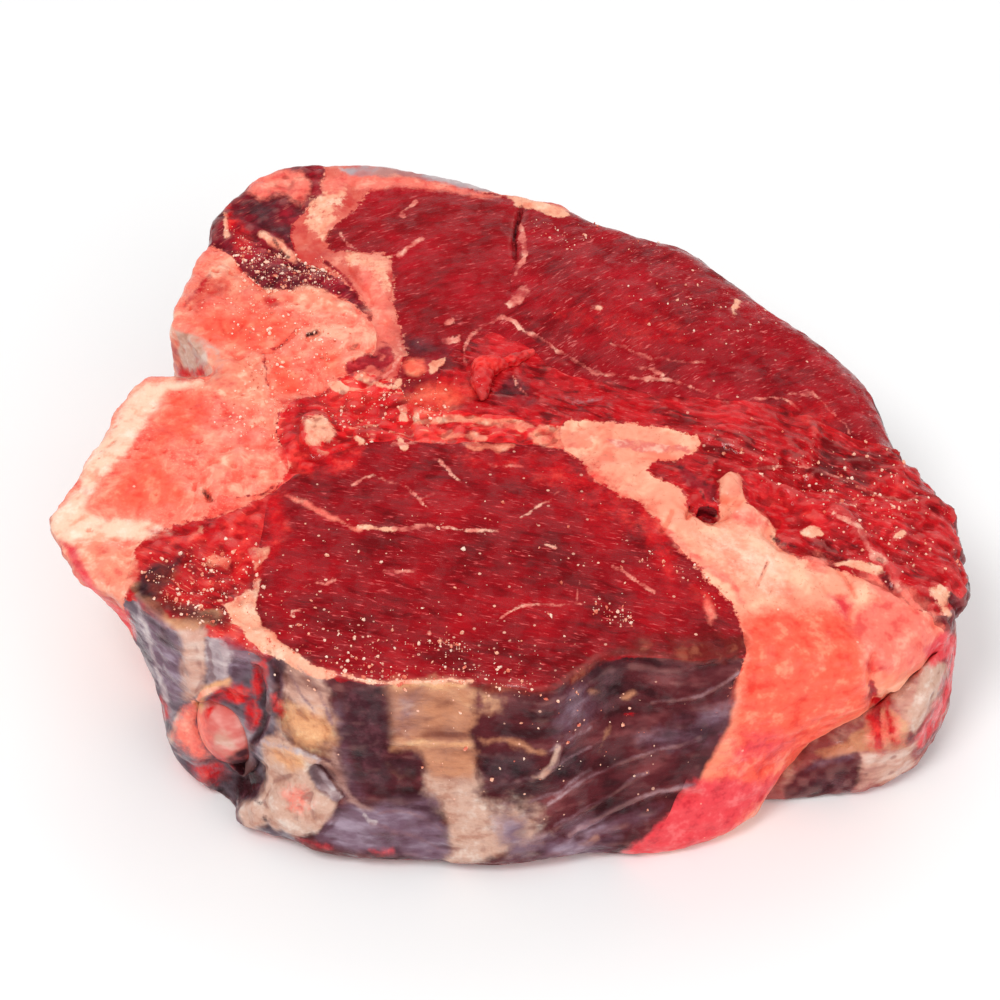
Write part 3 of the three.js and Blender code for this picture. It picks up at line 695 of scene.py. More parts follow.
# thin pale lines of marbling, threads and film, and one painted wet sheen
paint["marbleAndSheen"] = {
    "east": line(2, 392, 527, 408, 525, 424, 524),
    "tenderIsland": line(2.4, 403, 214, 410, 209, 417, 204),
    "loinGap": line(2.2, 522, 228, 523, 244, 525, 256, 519, 264, 514, 272),
    "rumpIsland": line(3.6, 525, 288, 520, 297, 511, 304),
    # painted wet sheen across the flank
    "flankSheen": line(1.8, 856, 486, 880, 496, 905, 502, 918, 497, amount=0.8),
    "tail": line(0.9, 424, 523, 445, 526, 470, 529, 500, 531),
    "top": line(1.6, 440, 461, 446, 466, 452, 475, 458, 479),
    "topEast": line(1.6, 490, 463, 496, 467, 510, 466, 523, 467),
    "low": line(1.1, 383, 572, 398, 573, 413, 572),
    "far": line(1.5, 612, 566, 624, 573, 640, 585, 655, 594),
    "spot": line(1.8, 546, 544, 556, 548),
    "fork": line(0.9, 518, 520, 530, 512, 541, 504, 552, 500, 559, 491),
    "star": line(1.2, 404, 487, 419, 500, 427, 508),
    "starArm": line(0.9, 419, 500, 434, 492),
    "loopWest": line(0.8, 352, 485, 360, 478, 372, 476, 386, 481, 399, 485),
    "curlWest": line(0.7, 300, 591, 307, 585, 326, 585, 338, 580),
    "arc": line(0.9, 498, 621, 513, 608, 535, 604, 559, 605, 583, 603),
    "threadLow": line(0.7, 418, 610, 428, 624, 430, 634),
    "hook": line(0.7, 293, 618, 294, 610, 301, 611),
    "threadEast": line(0.8, 580, 581, 580, 595, 576, 603),
    "tenderThread": line(1.8, 398, 255, 408, 247, 419, 240),
    "tenderNick": line(1.2, 341, 232, 346, 242, 353, 248),
    "rumpFilm": line(2, 502, 316, 514, 322, 524, 332, 540, 340),
    "rumpThread": line(1.4, 540, 340, 560, 352, 578, 362, 592, 371, 606, 376, 640, 378, 668, 381),
    "rumpThreadEast": line(1.3, 668, 381, 690, 387, 704, 394, 728, 402),
    "rumpUpper": line(1.8, 614, 343, 626, 347, 636, 356, 652, 361),
    "rumpUpperEast": line(1, 652, 361, 664, 358, 690, 361, 706, 361),
    "rumpShort": line(1.3, 637, 368, 652, 370, 664, 376),
    "innerThread": line(1.2, 467, 362, 464, 346, 474, 331, 490, 322, 503, 316),
    "innerArc": line(1, 513, 375, 518, 386, 528, 396),
    "innerPatch": patch(441, 337, 460, 336, 458, 342, 442, 343, soft=3),
    "innerSpot": line(2.2, 446, 322, 453, 320),
    "stemThread": line(1, 392, 446, 420, 442, 450, 442, 470, 443),
    "flankStrip": line(4, 858, 528, 864, 540, 871, 552, 886, 563, 893, 576, 898, 590, soft=4),
    "flankStripTop": line(1.6, 836, 515, 848, 520, 858, 528),
    "flankWisp": line(1.1, 742, 468, 768, 466, 800, 465, 820, 470, 840, 478),
    "flankLoop": line(1, 790, 396, 812, 392, 824, 402, 832, 412, 846, 424, 850, 434),
    "flankFork": line(0.9, 752, 400, 772, 398, 790, 404, 800, 412),
    "flankLow": line(1, 840, 503, 860, 505, 884, 502),
    "stemFascia": patch(604, 440, 640, 440, 684, 446, 690, 451, 660, 452, 620, 449, soft=4),
    "seamWisp": line(1.8, 396, 338, 402, 356, 398, 366, 384, 374, 372, 380),
}
paint["flesh"] = {
    "seamNotch": line(5, 352, 368, 362, 362, 385, 350, 392, 358, 380, 368),
    "seamRedWest": line(5, 318, 190, 318, 178),
    "seamLine": line(1.6, 326, 262, 348, 282, 362, 304, soft=4),
    "boneRedRim": line(3, 184, 304, 200, 290, 212, 272, soft=7, amount=0.8),
    "kernelNotch": line(6, 680, 470, 700, 485, 712, 495),
    "fatPocket": line(4.5, 884, 577, 892, 588, soft=5, amount=0.85),
    "boneCrack": line(1.1, 270, 349, 280, 346, 290, 337, 298, 329, soft=3),
    "boneCrackLow": line(1, 263, 352, 266, 366, 267, 378, 270, 386, soft=3, amount=0.9),
    "archLine": line(1, *places["archLine"], soft=3),
    "kernelCrack": line(0.8, *places["kernelCrack"], soft=2, amount=0.85),
    "tailCrease": line(3.2, 873, 684, 877, 706, 879, 744, soft=5),
    "tailCreaseEast": line(2.4, 888, 696, 890, 720, 894, 740, soft=5, amount=0.9),
    "kernelGap": patch(700, 512, 712, 514, 716, 522, 706, 524, soft=4),
}
paint["blood"] = {
    "canalRed": patch(180, 366, 190, 372, 204, 364, 208, 376, 196, 381, 178, 382, 176, 374),
    "bandC": patch(252, 662, 262, 657, 268, 666, 266, 690, 260, 700, 252, 694, 254, 676, soft=5),
    "knobRed": patch(246, 702, 256, 702, 262, 711, 260, 724, 252, 732, 247, 724, 245, 712, soft=5),
    "knobRim": patch(
        216, 687, 228, 684, 242, 684, 250, 692, 248, 703, 236, 703, 222, 700, 213, 708, 207, 722, 203, 716,
        208, 702, soft=5),
    "wallBleed": patch(272, 694, 278, 692, 285, 712, 281, 720, 275, 712, soft=5, amount=0.9),
    "kernelKnot": line(3, 870, 664, 877, 672, 884, 669, soft=5, amount=0.8),
    "hollowRed": patch(
        188, 762, 206, 761, 222, 758, 232, 765, 228, 778, 214, 786, 198, 780, soft=8, amount=0.72),
    "boneSpots": line(1.6, 220, 326, 228, 334, 240, 330, amount=0.62),
    "boneWestRed": patch(182, 296, 200, 276, 222, 268, 232, 290, 214, 306, 194, 318, soft=10, amount=0.56),
    "stripWestFlush": patch(262, 492, 286, 488, 290, 530, 276, 566, 262, 560, soft=10, amount=0.66),
    "boneSpotsEast": line(1.6, 246, 337, 256, 332, amount=0.62),
    "westFlecks": line(3, 163, 700, 168, 715),
    "sideSpike": patch(219, 206, 228, 204, 232, 215, 240, 222, 232, 232, 224, 215),
    "sideFlecks": patch(228, 232, 244, 226, 256, 240, 250, 262, 236, 252, soft=8, amount=0.65),
    "mushRed": patch(285, 425, 300, 412, 302, 446, 340, 455, 362, 448, 356, 470, 300, 476, 280, 455, soft=9),
    "mushRedMiddle": patch(
        330, 395, 400, 395, 440, 400, 450, 412, 400, 414, 372, 430, 340, 420, soft=12, amount=0.7),
    "boneFlush": patch(280, 400, 300, 396, 330, 400, 310, 414, 290, 424, soft=9, amount=0.85),
    "flankBright": patch(840, 500, 870, 470, 900, 460, 930, 490, 905, 505, 865, 505, soft=20, amount=0.55),
    "flankPatch": patch(750, 490, 790, 486, 826, 506, 820, 526, 780, 520, soft=14, amount=0.7),
    "flankNorth": patch(786, 402, 830, 398, 846, 420, 820, 436, 790, 424, soft=14, amount=0.6),
    "stripFlush": patch(
        640, 500, 662, 520, 676, 552, 682, 575, 672, 595, 652, 560, 636, 520, soft=12, amount=0.8),
    "stripTopFlush": patch(
        440, 450, 520, 448, 585, 452, 640, 500, 640, 540, 600, 520, 540, 486, 470, 470, soft=18, amount=0.62),
    "stripEastFlush": patch(690, 575, 716, 590, 730, 612, 712, 620, 694, 600, soft=12, amount=0.6),
    "rimFlush": line(3, 252, 600, 262, 560, 268, 520, soft=7, amount=0.8),
    "flankFlush": patch(758, 500, 775, 505, 790, 525, 800, 540, 784, 538, 766, 520, soft=8, amount=0.8),
    "innerFlush": patch(
        440, 372, 470, 362, 510, 362, 500, 378, 492, 396, 470, 400, 440, 392, soft=9, amount=0.7),
    "lumpSpot": line(4, 104, 574, 108, 584, soft=7, amount=0.7),
    "backFlush": patch(
        150, 530, 180, 528, 215, 518, 250, 512, 262, 528, 262, 560, 250, 590, 236, 600, 228, 560, 200, 545,
        160, 548, soft=12, amount=0.8),
    "spotBone": line(4, 268, 300, 274, 302, soft=4, amount=0.9),
    "tailRed": line(6, 872, 700, 876, 724, 878, 746, soft=8, amount=0.9),
    "tailRedEast": line(4.5, 888, 704, 890, 722, 896, 742, soft=8, amount=0.8),
    "rumpFlush": patch(540, 306, 620, 296, 700, 320, 705, 352, 640, 352, 570, 340, soft=26, amount=0.5),
}
paint["grey"] = {
    "rearFilm": patch(
        338, 168, 380, 166, 430, 170, 480, 178, 502, 190, 480, 190, 440, 182, 400, 177, 350, 176, soft=5),
    "foldPanel": patch(206, 640, 222, 640, 232, 652, 226, 678, 208, 682, soft=6),
    "filmHollow": patch(*places["filmHollow"], soft=5),
    "ledgeEdge": line(1.2, 262, 742, 282, 744, 300, 752, 317, 760),
    "canalSheen": line(2.4, 189, 342, 194, 354, 194, 362, soft=6, amount=0.66),
    "innerWisp": line(4, 560, 395, 580, 402, 600, 398, soft=9, amount=0.56),
    "westEdge": line(2.2, 138, 604, 150, 640, 158, 672, 168, 698, soft=5),
    "shreds": line(1.8, 366, 812, 370, 820, 376, 822, soft=3),
}
paint["thread"] = {
    "creaseHigh": line(0.8, *places["creaseHigh"], only="strip_loin"),
    "creaseMiddle": line(0.9, *places["creaseMiddle"]),
    "creaseFar": line(0.7, *places["creaseFar"]),
    "creaseLow": line(1.3, 694, 787, 679, 788, 657, 791, 635, 800, 613, 811, 592, 822, 570, 835),
    "wallThreads": line(0.9, 476, 790, 500, 784, 530, 778, 560, 765, 590, 748),
    "wallThreadsLow": line(0.9, 500, 803, 530, 800, 560, 790, 590, 770),
    "violetThreads": line(0.8, 372, 822, 392, 830, 420, 838, 445, 850),
    "violetThreadTop": line(0.8, 380, 812, 404, 812, 430, 822, 446, 836),
    "fasciaThreads": line(0.9, 298, 664, 312, 680, 326, 704, 332, 726),
    "fasciaThreadWest": line(0.9, 286, 668, 300, 690, 314, 712),
    "curlThreads": line(1.2, 552, 750, 566, 742, 590, 726, soft=5, amount=0.85),
}
# painted shade in holes, slits, cracks and gaps, and painted shadow under the lip
paint["recessShade"] = {
    "boneHole": patch(306, 338, 311, 332, 320, 329, 321, 334, 314, 338, amount=0.9),
    "boneHoleSmall": line(1.8, 351, 348, 357, 346, amount=0.75),
    "marrowHole": patch(203, 487, 207, 490, 212, 500, 208, 500, 205, 495, amount=0.9),
    "loinSlit": line(0.9, 520, 212, 517, 225, 514, 243, 515, 254, soft=3),
    "fatPit": line(2, 703, 518, 708, 520, amount=0.75),
    "flankGap": line(2.4, 770, 534, 782, 546, 800, 550, amount=0.8),
    "lipShadow": line(1, 652, 664, 690, 667, 720, 663, 745, 652, amount=0.8),
    "hollow": line(3, 244, 764, 254, 776, 248, 792, soft=6, amount=0.8),
    "tipHole": line(1.2, 256, 800, 262, 803, soft=3, amount=0.9),
    "tipHoleLow": line(1.4, 262, 817, 265, 820, soft=3, amount=0.9),
    "sideSlit": line(1, 274, 238, 282, 252, 290, 256, soft=3),
    "kernelSlit": line(0.8, 700, 492, 706, 500, 712, 514, soft=3, amount=0.9),
    "bandEdge": line(2.2, 276, 668, 281, 686, 276, 706, amount=0.8),
}
paint["dust"] = {
    "clusterFront": line(8, 420, 648, 440, 644, 466, 646),
    "clusterEast": line(7, 598, 606, 612, 614, 626, 618),
    "clusterWest": line(7, 252, 642, 280, 646, 312, 656, amount=0.8),
    "frontBelt": line(12, 330, 668, 380, 672, 430, 676, 475, 672, 530, 684, amount=0.62),
    "frontField": patch(
        262, 600, 400, 610, 520, 640, 560, 680, 460, 678, 350, 672, 280, 642, soft=40, amount=0.4),
    "sideMuscle": patch(
        232, 232, 262, 246, 300, 262, 330, 266, 342, 285, 300, 292, 258, 290, 238, 270, soft=10, amount=0.95),
    "boneGrit": patch(
        238, 268, 300, 296, 352, 322, 346, 370, 300, 396, 276, 440, 230, 452, 214, 410, 240, 380, 236, 340,
        206, 300, soft=18, amount=0.5),
    "backRim": line(7, 148, 572, 156, 580),
    "backRimEast": line(8, 168, 600, 195, 610, 232, 622, amount=0.9),
    "backFace": patch(150, 555, 250, 535, 262, 580, 250, 620, 180, 610, soft=18, amount=0.5),
    "rumpNorth": line(10, 540, 228, 570, 240, 592, 235, amount=0.3),
    "rumpEast": patch(640, 250, 720, 300, 760, 350, 700, 340, 640, 300, soft=30, amount=0.25),
    "flank": patch(700, 440, 900, 450, 950, 560, 900, 580, 820, 520, soft=30, amount=0.32),
    "mush": patch(360, 378, 450, 385, 440, 430, 330, 440, 320, 400, soft=14, amount=0.42),
    "eastDots": line(8, 650, 560, 690, 572, 716, 600, amount=0.5),
    "wallDots": patch(380, 700, 500, 700, 700, 700, 700, 780, 560, 800, 420, 800, soft=30, amount=0.1),
    "stripAll": patch(300, 500, 600, 480, 700, 600, 560, 660, 300, 640, soft=30, amount=0.09),
}
wobble = {"broad": 2.4, "broadCell": 9.0, "fine": 1.8, "fineCell": 3.0, "swing": 0.9}  # of borders, px and mm
raised = {"fat": 0.5, "chalk": 0.4, "cream": 0.3, "honey": 0.25}  # how far these tissues stand up, mm


def wanderingSpots(points):
    # each point's pixel, shifted unevenly so that no painted border stays a drawn line
    plan = toPlan(points)
    shift = [
        wobble["broad"] * noise(plan, wobble["broadCell"], seed)
        + wobble["fine"] * noise(plan, wobble["fineCell"], seed + 2)
        for seed in (81, 85)
    ]
    return toPixels(points) + np.stack(shift, 1)


# forms carved into the side that the photograph shows: height in mm, places and widths in pixels
carvings = {
    "boneHole": line(2, 309, 336, 318, 332, soft=3, height=-2),
    "boneHoleSmall": line(2, 350, 348, 357, 346, soft=3, height=-1.2),
    "marrowHole": line(1.6, 206, 490, 209, 498, soft=3, height=-1.8),
    "canalHollow": line(9, 186, 345, 194, 362, soft=8, height=-1.4),
    "boneCrack": line(1.2, 262, 352, 278, 346, 290, 337, 298, 329, soft=2.5, height=-1),
    "boneCrackLow": line(1, 265, 360, 268, 378, 272, 396, soft=2.5, height=-0.8),
    "archLine": line(1, *places["archLine"], soft=3, height=-0.9),
    "boneLumpWest": line(8, 216, 478, 226, 466, 240, 457, soft=5, height=1.2),
    "stemLump": patch(
        301, 420, 310, 414, 322, 412, 330, 420, 335, 437, 326, 443, 314, 450, 304, 442, soft=4, height=1.6),
    "loinSlit": line(1.3, 521, 208, 517, 225, 514, 243, 515, 257, soft=2.6, height=-1.5),
    "rumpSeam": line(
        1.5, 520, 320, 540, 340, 560, 352, 585, 366, 605, 375, 640, 378, 670, 381, 700, 392, 728, 402, soft=5,
        height=-0.6),
    "rumpSeamUpper": line(1.5, 612, 343, 635, 355, 652, 361, 705, 361, soft=5, height=-0.5),
    "flankSeam": line(2, 720, 466, 760, 467, 800, 465, 840, 475, 870, 490, 905, 499, soft=6, height=-0.9),
    "flankGap": line(4, 768, 531, 782, 545, 800, 549, 822, 553, 840, 556, soft=5, height=-2.2),
    "flankHollow": line(7, 770, 497, 790, 506, 800, 518, soft=8, height=-1.6),
    "flankFold": line(5, 835, 512, 852, 524, 863, 540, 880, 558, 893, 575, soft=5, height=1.6),
    "flankFoldLow": line(6, 905, 575, 922, 590, 935, 600, soft=5, height=1),
    "fatPit": line(3.5, 702, 515, 710, 520, soft=3, height=-2),
    "fatPitWest": line(2.2, 688, 516, 692, 509, soft=2.5, height=-1.4),
    "fatNotch": line(1.8, 662, 530, 668, 522, 672, 512, soft=3, height=-1.2),
    "fatPeak": patch(718, 496, 722, 480, 730, 475, 738, 480, 742, 497, 730, 503, soft=4, height=2.4),
    "fatShoulder": line(5, 735, 514, 750, 511, 766, 520, soft=5, height=0.9),
    "fatLedge": line(6, 606, 466, 640, 470, 662, 482, 690, 500, soft=6, height=0.7),
    "fatCrack": line(0.9, *places["kernelCrack"], soft=2.5, height=-0.8),
    "fatStep": line(1.2, 832, 564, 846, 578, 856, 597, soft=3, height=-1),
    "fatCrease": line(2, 880, 560, 887, 578, 898, 592, soft=4, height=-1.6),
    "fatValley": line(3, 842, 598, 850, 610, 849, 622, soft=6, height=-0.9),
    "redCrease": line(2.4, 875, 655, 872, 680, 877, 708, 879, 745, soft=6, height=-2),
    "redCreaseEast": line(1.8, 888, 694, 890, 718, 893, 742, soft=5, height=-1.2),
    "paleLobe": line(8, 900, 690, 905, 712, soft=7, height=1.2),
    "fatFold": line(2, 760, 772, 775, 760, 800, 742, 825, 728, soft=9, height=-0.9),
    "lip": line(
        2, 532, 692, 556, 687, 578, 671, 598, 656, 625, 650, 665, 655, 700, 659, 735, 655, 752, 645, soft=4,
        height=0.6),
    "lipGroove": line(
        1.6, 540, 700, 562, 693, 584, 678, 604, 664, 630, 660, 665, 665, 700, 668, 735, 663, soft=4,
        height=-0.6),
    "lipWrinkle": line(1, 690, 652, 712, 648, 738, 640, soft=2, height=-0.7),
    "lipWrinkleLow": line(1, 692, 659, 716, 655, 742, 647, soft=2, height=-0.6),
    "creaseHigh": line(1, *places["creaseHigh"], soft=3, height=0.6),
    "creaseMiddle": line(1.2, *places["creaseMiddle"], soft=4, height=0.7),
    "creaseSecond": line(1, *places["creaseFar"], soft=3.5, height=0.5),
    "creaseLow": line(
        1.5, 698, 787, 679, 788, 657, 791, 635, 800, 613, 811, 592, 822, 570, 835, soft=4, height=1),
    "creaseShadow": line(3, 696, 797, 668, 798, 640, 805, 612, 820, 580, 833, soft=7, height=-0.9),
    "torn": line(2, 543, 776, 553, 768, 558, 756, 560, 748, soft=3, height=1),
    "tanStep": line(1, 388, 742, 420, 741, 474, 740, soft=3, height=0.5),
    "panelStep": line(1.5, 478, 760, 477, 778, soft=3, height=-0.7),
    "bandC": line(6, 232, 650, 252, 653, 268, 664, 276, 684, 272, 706, soft=5, height=1.6),
    "knobGroove": line(3, 258, 668, 262, 692, 264, 715, 256, 738, soft=4, height=-1.6),
    "fatRing": line(4, 203, 695, 214, 686, 230, 683, 246, 690, soft=4, height=1),
    "gristle": patch(
        172, 735, 176, 722, 186, 712, 196, 722, 205, 740, 210, 756, 195, 760, 178, 750, soft=6, height=1.6),
    "knobHollow": patch(
        206, 765, 225, 758, 248, 758, 262, 770, 258, 790, 240, 800, 222, 792, soft=8, height=-4),
    "foldWest": line(4, 186, 640, 190, 662, 193, 690, soft=5, height=1),
    "foldMiddle": line(1.5, 206, 640, 209, 660, 212, 678, soft=4, height=-0.9),
    "foldEast": line(4, 222, 648, 226, 664, 226, 676, soft=4, height=0.8),
    "lumpLowWest": patch(
        272, 800, 280, 785, 296, 778, 308, 785, 306, 800, 312, 818, 305, 832, 288, 828, 276, 815, soft=6,
        height=2.2),
    "lumpLowEast": patch(306, 800, 318, 796, 334, 806, 330, 820, 318, 832, 308, 826, soft=5, height=1.5),
    "lumpTip": patch(242, 802, 256, 800, 268, 812, 262, 824, 246, 826, 238, 814, soft=5, height=1.8),
    "filmHollow": patch(*places["filmHollow"], soft=3, height=-1.6),
    "ledge": line(3, 262, 742, 280, 744, 298, 752, 316, 760, soft=4, height=0.9),
    "backRib": line(2.5, 136, 598, 150, 612, 172, 628, 195, 640, soft=4, height=0.9),
    "sideCut": line(2, 240, 232, 262, 240, 290, 262, 300, 270, soft=4, height=-1.2),
    "sideStrand": line(2.5, 262, 236, 280, 244, 292, 256, soft=3, height=1),
    "seamStrand": line(1.2, 348, 262, 356, 280, 368, 292, 372, 304, soft=3, height=-0.9),
}


def carve(mesh):
    # broad and fine relief by piece, then the single forms, all along the broad surface normal
    points = meshPoints(mesh)
    plan = toPlan(points)
    count = len(points)
    normals = broadNormals(mesh, 6)
    nodeOf = nearestNode(points, bodyNodes)
    share = np.zeros((count, len(bodyNodes)))
    share[np.arange(count), nodeOf] = 1.0
    share = spread(share, mesh, 5)
    part = {node: share[:, number] for number, node in enumerate(bodyNodes)}
    wall = 1 - ramp(0.35, 0.75, np.abs(normals[:, 2]))
    face = 1 - wall

    height = np.zeros(count)
    muscle = part["strip_loin"] + part["tenderloin"] + part["rump_muscle"]
    grain = turned(plan, -16)
    height += muscle * face * 0.22 * layeredNoise(grain, (11, 4, 9), 3)
    height += muscle * face * 0.10 * noise(grain, (3.2, 1.3, 3), 5)
    height += part["rump_muscle"] * face * 0.35 * layeredNoise(turned(plan, 28), (14, 5, 9), 11)

    torn = part["flank_muscle"] + (0.4 * part["back_muscle"] + 0.3 * part["side_muscle"]) * face
    east = ramp(30, 80, plan[:, 0] - 0.4 * plan[:, 1])
    strings = turned(plan, -24)
    height += torn * (0.35 + 0.7 * east) * (1.2 * ridges(strings, (20, 8, 9), 21) - 0.5)
    height += torn * (0.25 + 0.35 * east) * (ridges(turned(plan, -14), (8, 3.0, 5), 23) - 0.4)
    height += torn * (0.55 + 1.1 * east) * layeredNoise(plan, 9, 25, 4) + torn * 0.28 * noise(plan, 1.6, 27)

    mush = part["stem_tissue"] + (0.6 * part["back_muscle"] + 0.5 * part["side_muscle"]) * face
    height += mush * (0.8 - 1.5 * lumps(plan, 4.2, 31)) + mush * 0.6 * noise(plan, 2.2, 33)

    soft = part["fat_kernel"] + part["seam_fat"]
    height += soft * face * (0.45 - 0.75 * lumps(plan, 6.5, 41))
    height += soft * face * (0.25 - 0.4 * lumps(plan, 2.6, 43))
    height += soft * wall * 0.7 * layeredNoise(turned(plan, 30), (16, 9, 6), 45)

    bone = part["bone"]
    height += bone * 0.7 * layeredNoise(plan, 9, 51) + bone * 0.3 * noise(plan, 2.4, 53)
    rough = 0.5 + 0.7 * ramp(-98, -72, plan[:, 0])  # the bone is rougher towards the meat
    height += bone * face * rough * (0.45 - 0.9 * lumps(plan, 6.0, 57))
    height -= bone * face * 1.0 * ramp(0.5, 0.8, layeredNoise(plan, 3.2, 55, 2))

    # the outside: low folds that lie along the rim, and a ragged top edge
    folds = layeredNoise(plan, (26, 26, 5), 61)
    height += wall * (0.55 + 0.3 * part["strip_loin"]) * folds
    height += wall * 0.35 * layeredNoise(plan, 3.4, 63, 2)
    rim = 4 * wall * (1 - wall)
    height += rim * (0.5 + 1.4 * part["flank_muscle"] + 0.7 * part["bone"]) * layeredNoise(plan, 3.6, 65, 2)

    spots = toPixels(points)
    seen = spread(seenFromShot(points, objectTree([skin])), mesh, 3)[:, 0]
    for mark in carvings.values():
        height += seen * markShare(spots, mark, mark["soft"]) * mark["height"]
    spots = wanderingSpots(points)
    for tissue, lift in raised.items():
        stands = np.zeros(count)
        for mark in paint[tissue].values():
            stands = np.maximum(stands, markShare(spots, mark, 4.0))
        height += seen * lift * stands

    # the underside only takes hollows, so that it still rests flat on the floor's level
    under = ramp(0.4, 0.8, -normals[:, 2])
    height = height * (1 - under) + np.minimum(height - 0.2, 0) * 0.6 * under
    points = points + normals * (height * millimetre)[:, None]
    points[:, 2] = np.maximum(points[:, 2], 0.0)
    setPoints(mesh, points)


def crestShare(mesh):
    # how far each vertex stands out of its surroundings: 0 in a pit, a half on the flat, 1 on a crest
    points = meshPoints(mesh)
    around = spread(points, mesh, 10)
    out = np.einsum("ij,ij->i", points - around, meshNormals(mesh)) / millimetre
    return np.clip(0.5 + out / 0.55, 0, 1)


carve(skin.data)
skinNormals, skinCrest, skinTree = broadNormals(skin.data, 5), crestShare(skin.data), treeOfPoints([skin])
print("skin carved")

# seams between the pieces, in plan on the cut face, mm; one leans and has other points at the base
seams = {
    "roundBone": [
        (-96, 82), (-80, 74), (-74, 66), (-66, 57), (-57, 56), (-46, 54), (-37, 43), (-36, 32),
        (-42, 24), (-50, 17), (-58, 11), (-60, 1), (-57, -12), (-62, -22), (-73, -29), (-83, -32),
        (-91, -38), (-94, -46), (-95, -57), (-104, -72),
    ],
    "sideMuscle": [
        (-53, 125), (-54, 97), (-61, 84), (-58, 71), (-50, 65), (-41, 55), (-37.5, 47), (-38.5, 40),
    ],
    "roundTenderloin": [
        (32, 104), (14, 90), (3, 95), (-3, 99), (-20, 102), (-38, 101), (-45, 90), (-51, 82),
        (-48, 74), (-35, 71), (-32, 64), (-32, 52), (-30, 41), (-28, 30), (-32, 16),
    ],
    "stemTop": [
        (-44.5, 25.5), (-37, 23), (-30, 19), (-24, 11), (-16, 9), (2, 6), (18, 5), (36, 3), (49, -3),
        (44, -8), (36, -10), (36, -15), (42, -20), (48, -29), (52, -27), (53, -17), (58, -15),
        (60, -24), (66, -29), (67, -36), (74, -42), (86, -44), (94, -49), (106, -54), (130, -58),
    ],
    "stripFat": [
        (-66, -26), (-56, -17), (-46, -8), (-34, -3), (-16, -3), (7, -4), (16, -8), (23, -19),
        (33, -26), (40, -38), (48, -51), (56, -62), (58, -74), (60, -104),
    ],
    "stemEnd": [(14, 8), (13, 0), (14, -10)],
    "tenderloinRump": [(3, 97), (3, 92), (1, 80), (1, 66), (-1, 54), (-6, 40), (-7.5, 36)],
    "innerFlank": [(-4, 42), (-14, 33), (-19, 25), (-20, 15), (-17.5, 6)],
    "rumpFlank": [
        (-8.5, 41), (2, 36), (13, 25), (23, 21), (36, 16), (49, 14), (64, 14), (76, 12), (87, 7),
        (98, 6), (130, 10),
    ],
    "besideStrip": [(-60.5, -17), (-62, -33), (-63, -50), (-64, -62), (-59, -71), (-52, -100)],
}
stripFatBase = [
    (-66, -26), (-56, -17), (-46, -8), (-34, -3), (-16, -3), (7, -4), (15, -9), (20, -21),
    (26, -30), (29, -43), (32, -57), (34, -70), (33, -84), (30, -110),
]
cut = {"step": 1.4, "faceHeight": 60.0, "low": -10.0, "high": 76.0, "width": 0.02, "scrap": 300}
ragged = {"size": 1.1, "cell": 7.0, "fade": 5.0, "past": 1.2}  # how unevenly the seams run, mm


def unevenLine(line):
    # a seam that wanders a little to each side, but not at its ends, which reach a little further
    along = np.gradient(line, axis=0)
    along /= np.linalg.norm(along, axis=1)[:, None]
    run = np.concatenate([[0.0], np.cumsum(np.linalg.norm(np.diff(line, axis=0), axis=1))])
    free = ramp(0.0, ragged["fade"], np.minimum(run, run[-1] - run))
    places = np.column_stack([line, np.zeros(len(line))])
    swing = ragged["size"] * free * layeredNoise(places, ragged["cell"], 95)
    line = line + swing[:, None] * np.stack([-along[:, 1], along[:, 0]], 1)
    return np.vstack([line[0] - ragged["past"] * along[0], line, line[-1] + ragged["past"] * along[-1]])


def seamLine(name, height):
    top = unevenLine(smoothLine(seams[name], cut["step"]))
    if name != "stripFat":
        return top
    low = smoothLine(stripFatBase, cut["step"])
    where = np.linspace(0, len(low) - 1, len(top))
    low = np.stack([np.interp(where, np.arange(len(low)), low[:, i]) for i in (0, 1)], 1)
    return low + (top - low) * height / cut["faceHeight"]


def makeBlade(name):
    # a very thin closed wall that stands on the seam
    levels = np.linspace(cut["low"], cut["high"], 6 if name == "stripFat" else 2)
    points, count = [], 0
    for z in levels:
        line = seamLine(name, z)
        count = len(line)
        along = np.gradient(line, axis=0)
        along /= np.linalg.norm(along, axis=1)[:, None]
        side = np.stack([-along[:, 1], along[:, 0]], 1) * cut["width"] / 2
        pair = np.stack([line + side, line - side], 1).reshape(-1, 2)
        points.append(np.column_stack([pair, np.full(len(pair), z)]))
    top = len(levels) - 1

    def left(level, i):
        return 2 * (level * count + i)

    def right(level, i):
        return left(level, i) + 1

    faces = []
    for k in range(top):
        last = count - 1
        faces.append((left(k, 0), right(k, 0), right(k + 1, 0), left(k + 1, 0)))
        faces.append((right(k, last), left(k, last), left(k + 1, last), right(k + 1, last)))
        for i in range(last):
            faces.append((left(k, i), left(k + 1, i), left(k + 1, i + 1), left(k, i + 1)))
            faces.append((right(k, i), right(k, i + 1), right(k + 1, i + 1), right(k + 1, i)))
    for i in range(count - 1):
        faces.append((left(0, i), left(0, i + 1), right(0, i + 1), right(0, i)))
        faces.append((right(top, i), right(top, i + 1), left(top, i + 1), left(top, i)))
    triangles = [corner for a, b, c, d in faces for corner in ((a, b, c), (a, c, d))]
    return newObject("blade", newMesh("blade", fromPlan(np.vstack(points)), triangles))


def cutAlongSeams(thing):
    for name in seams:
        blade = makeBlade(name)
        modifier = thing.modifiers.new("cut", "BOOLEAN")
        modifier.operation = "DIFFERENCE"
        modifier.solver = "MANIFOLD"
        modifier.object = blade
        applied(thing)
        bpy.data.objects.remove(blade)


def looseParts(mesh):
    # each vertex's part number, found by passing the lowest number along the edges
    edges = meshEdges(mesh)
    label = np.arange(len(mesh.vertices))
    while True:
        low = np.minimum(label[edges[:, 0]], label[edges[:, 1]])
        new = label.copy()
        np.minimum.at(new, edges[:, 0], low)
        np.minimum.at(new, edges[:, 1], low)
        new = new[new]
        if (new == label).all():
            return label
        label = new


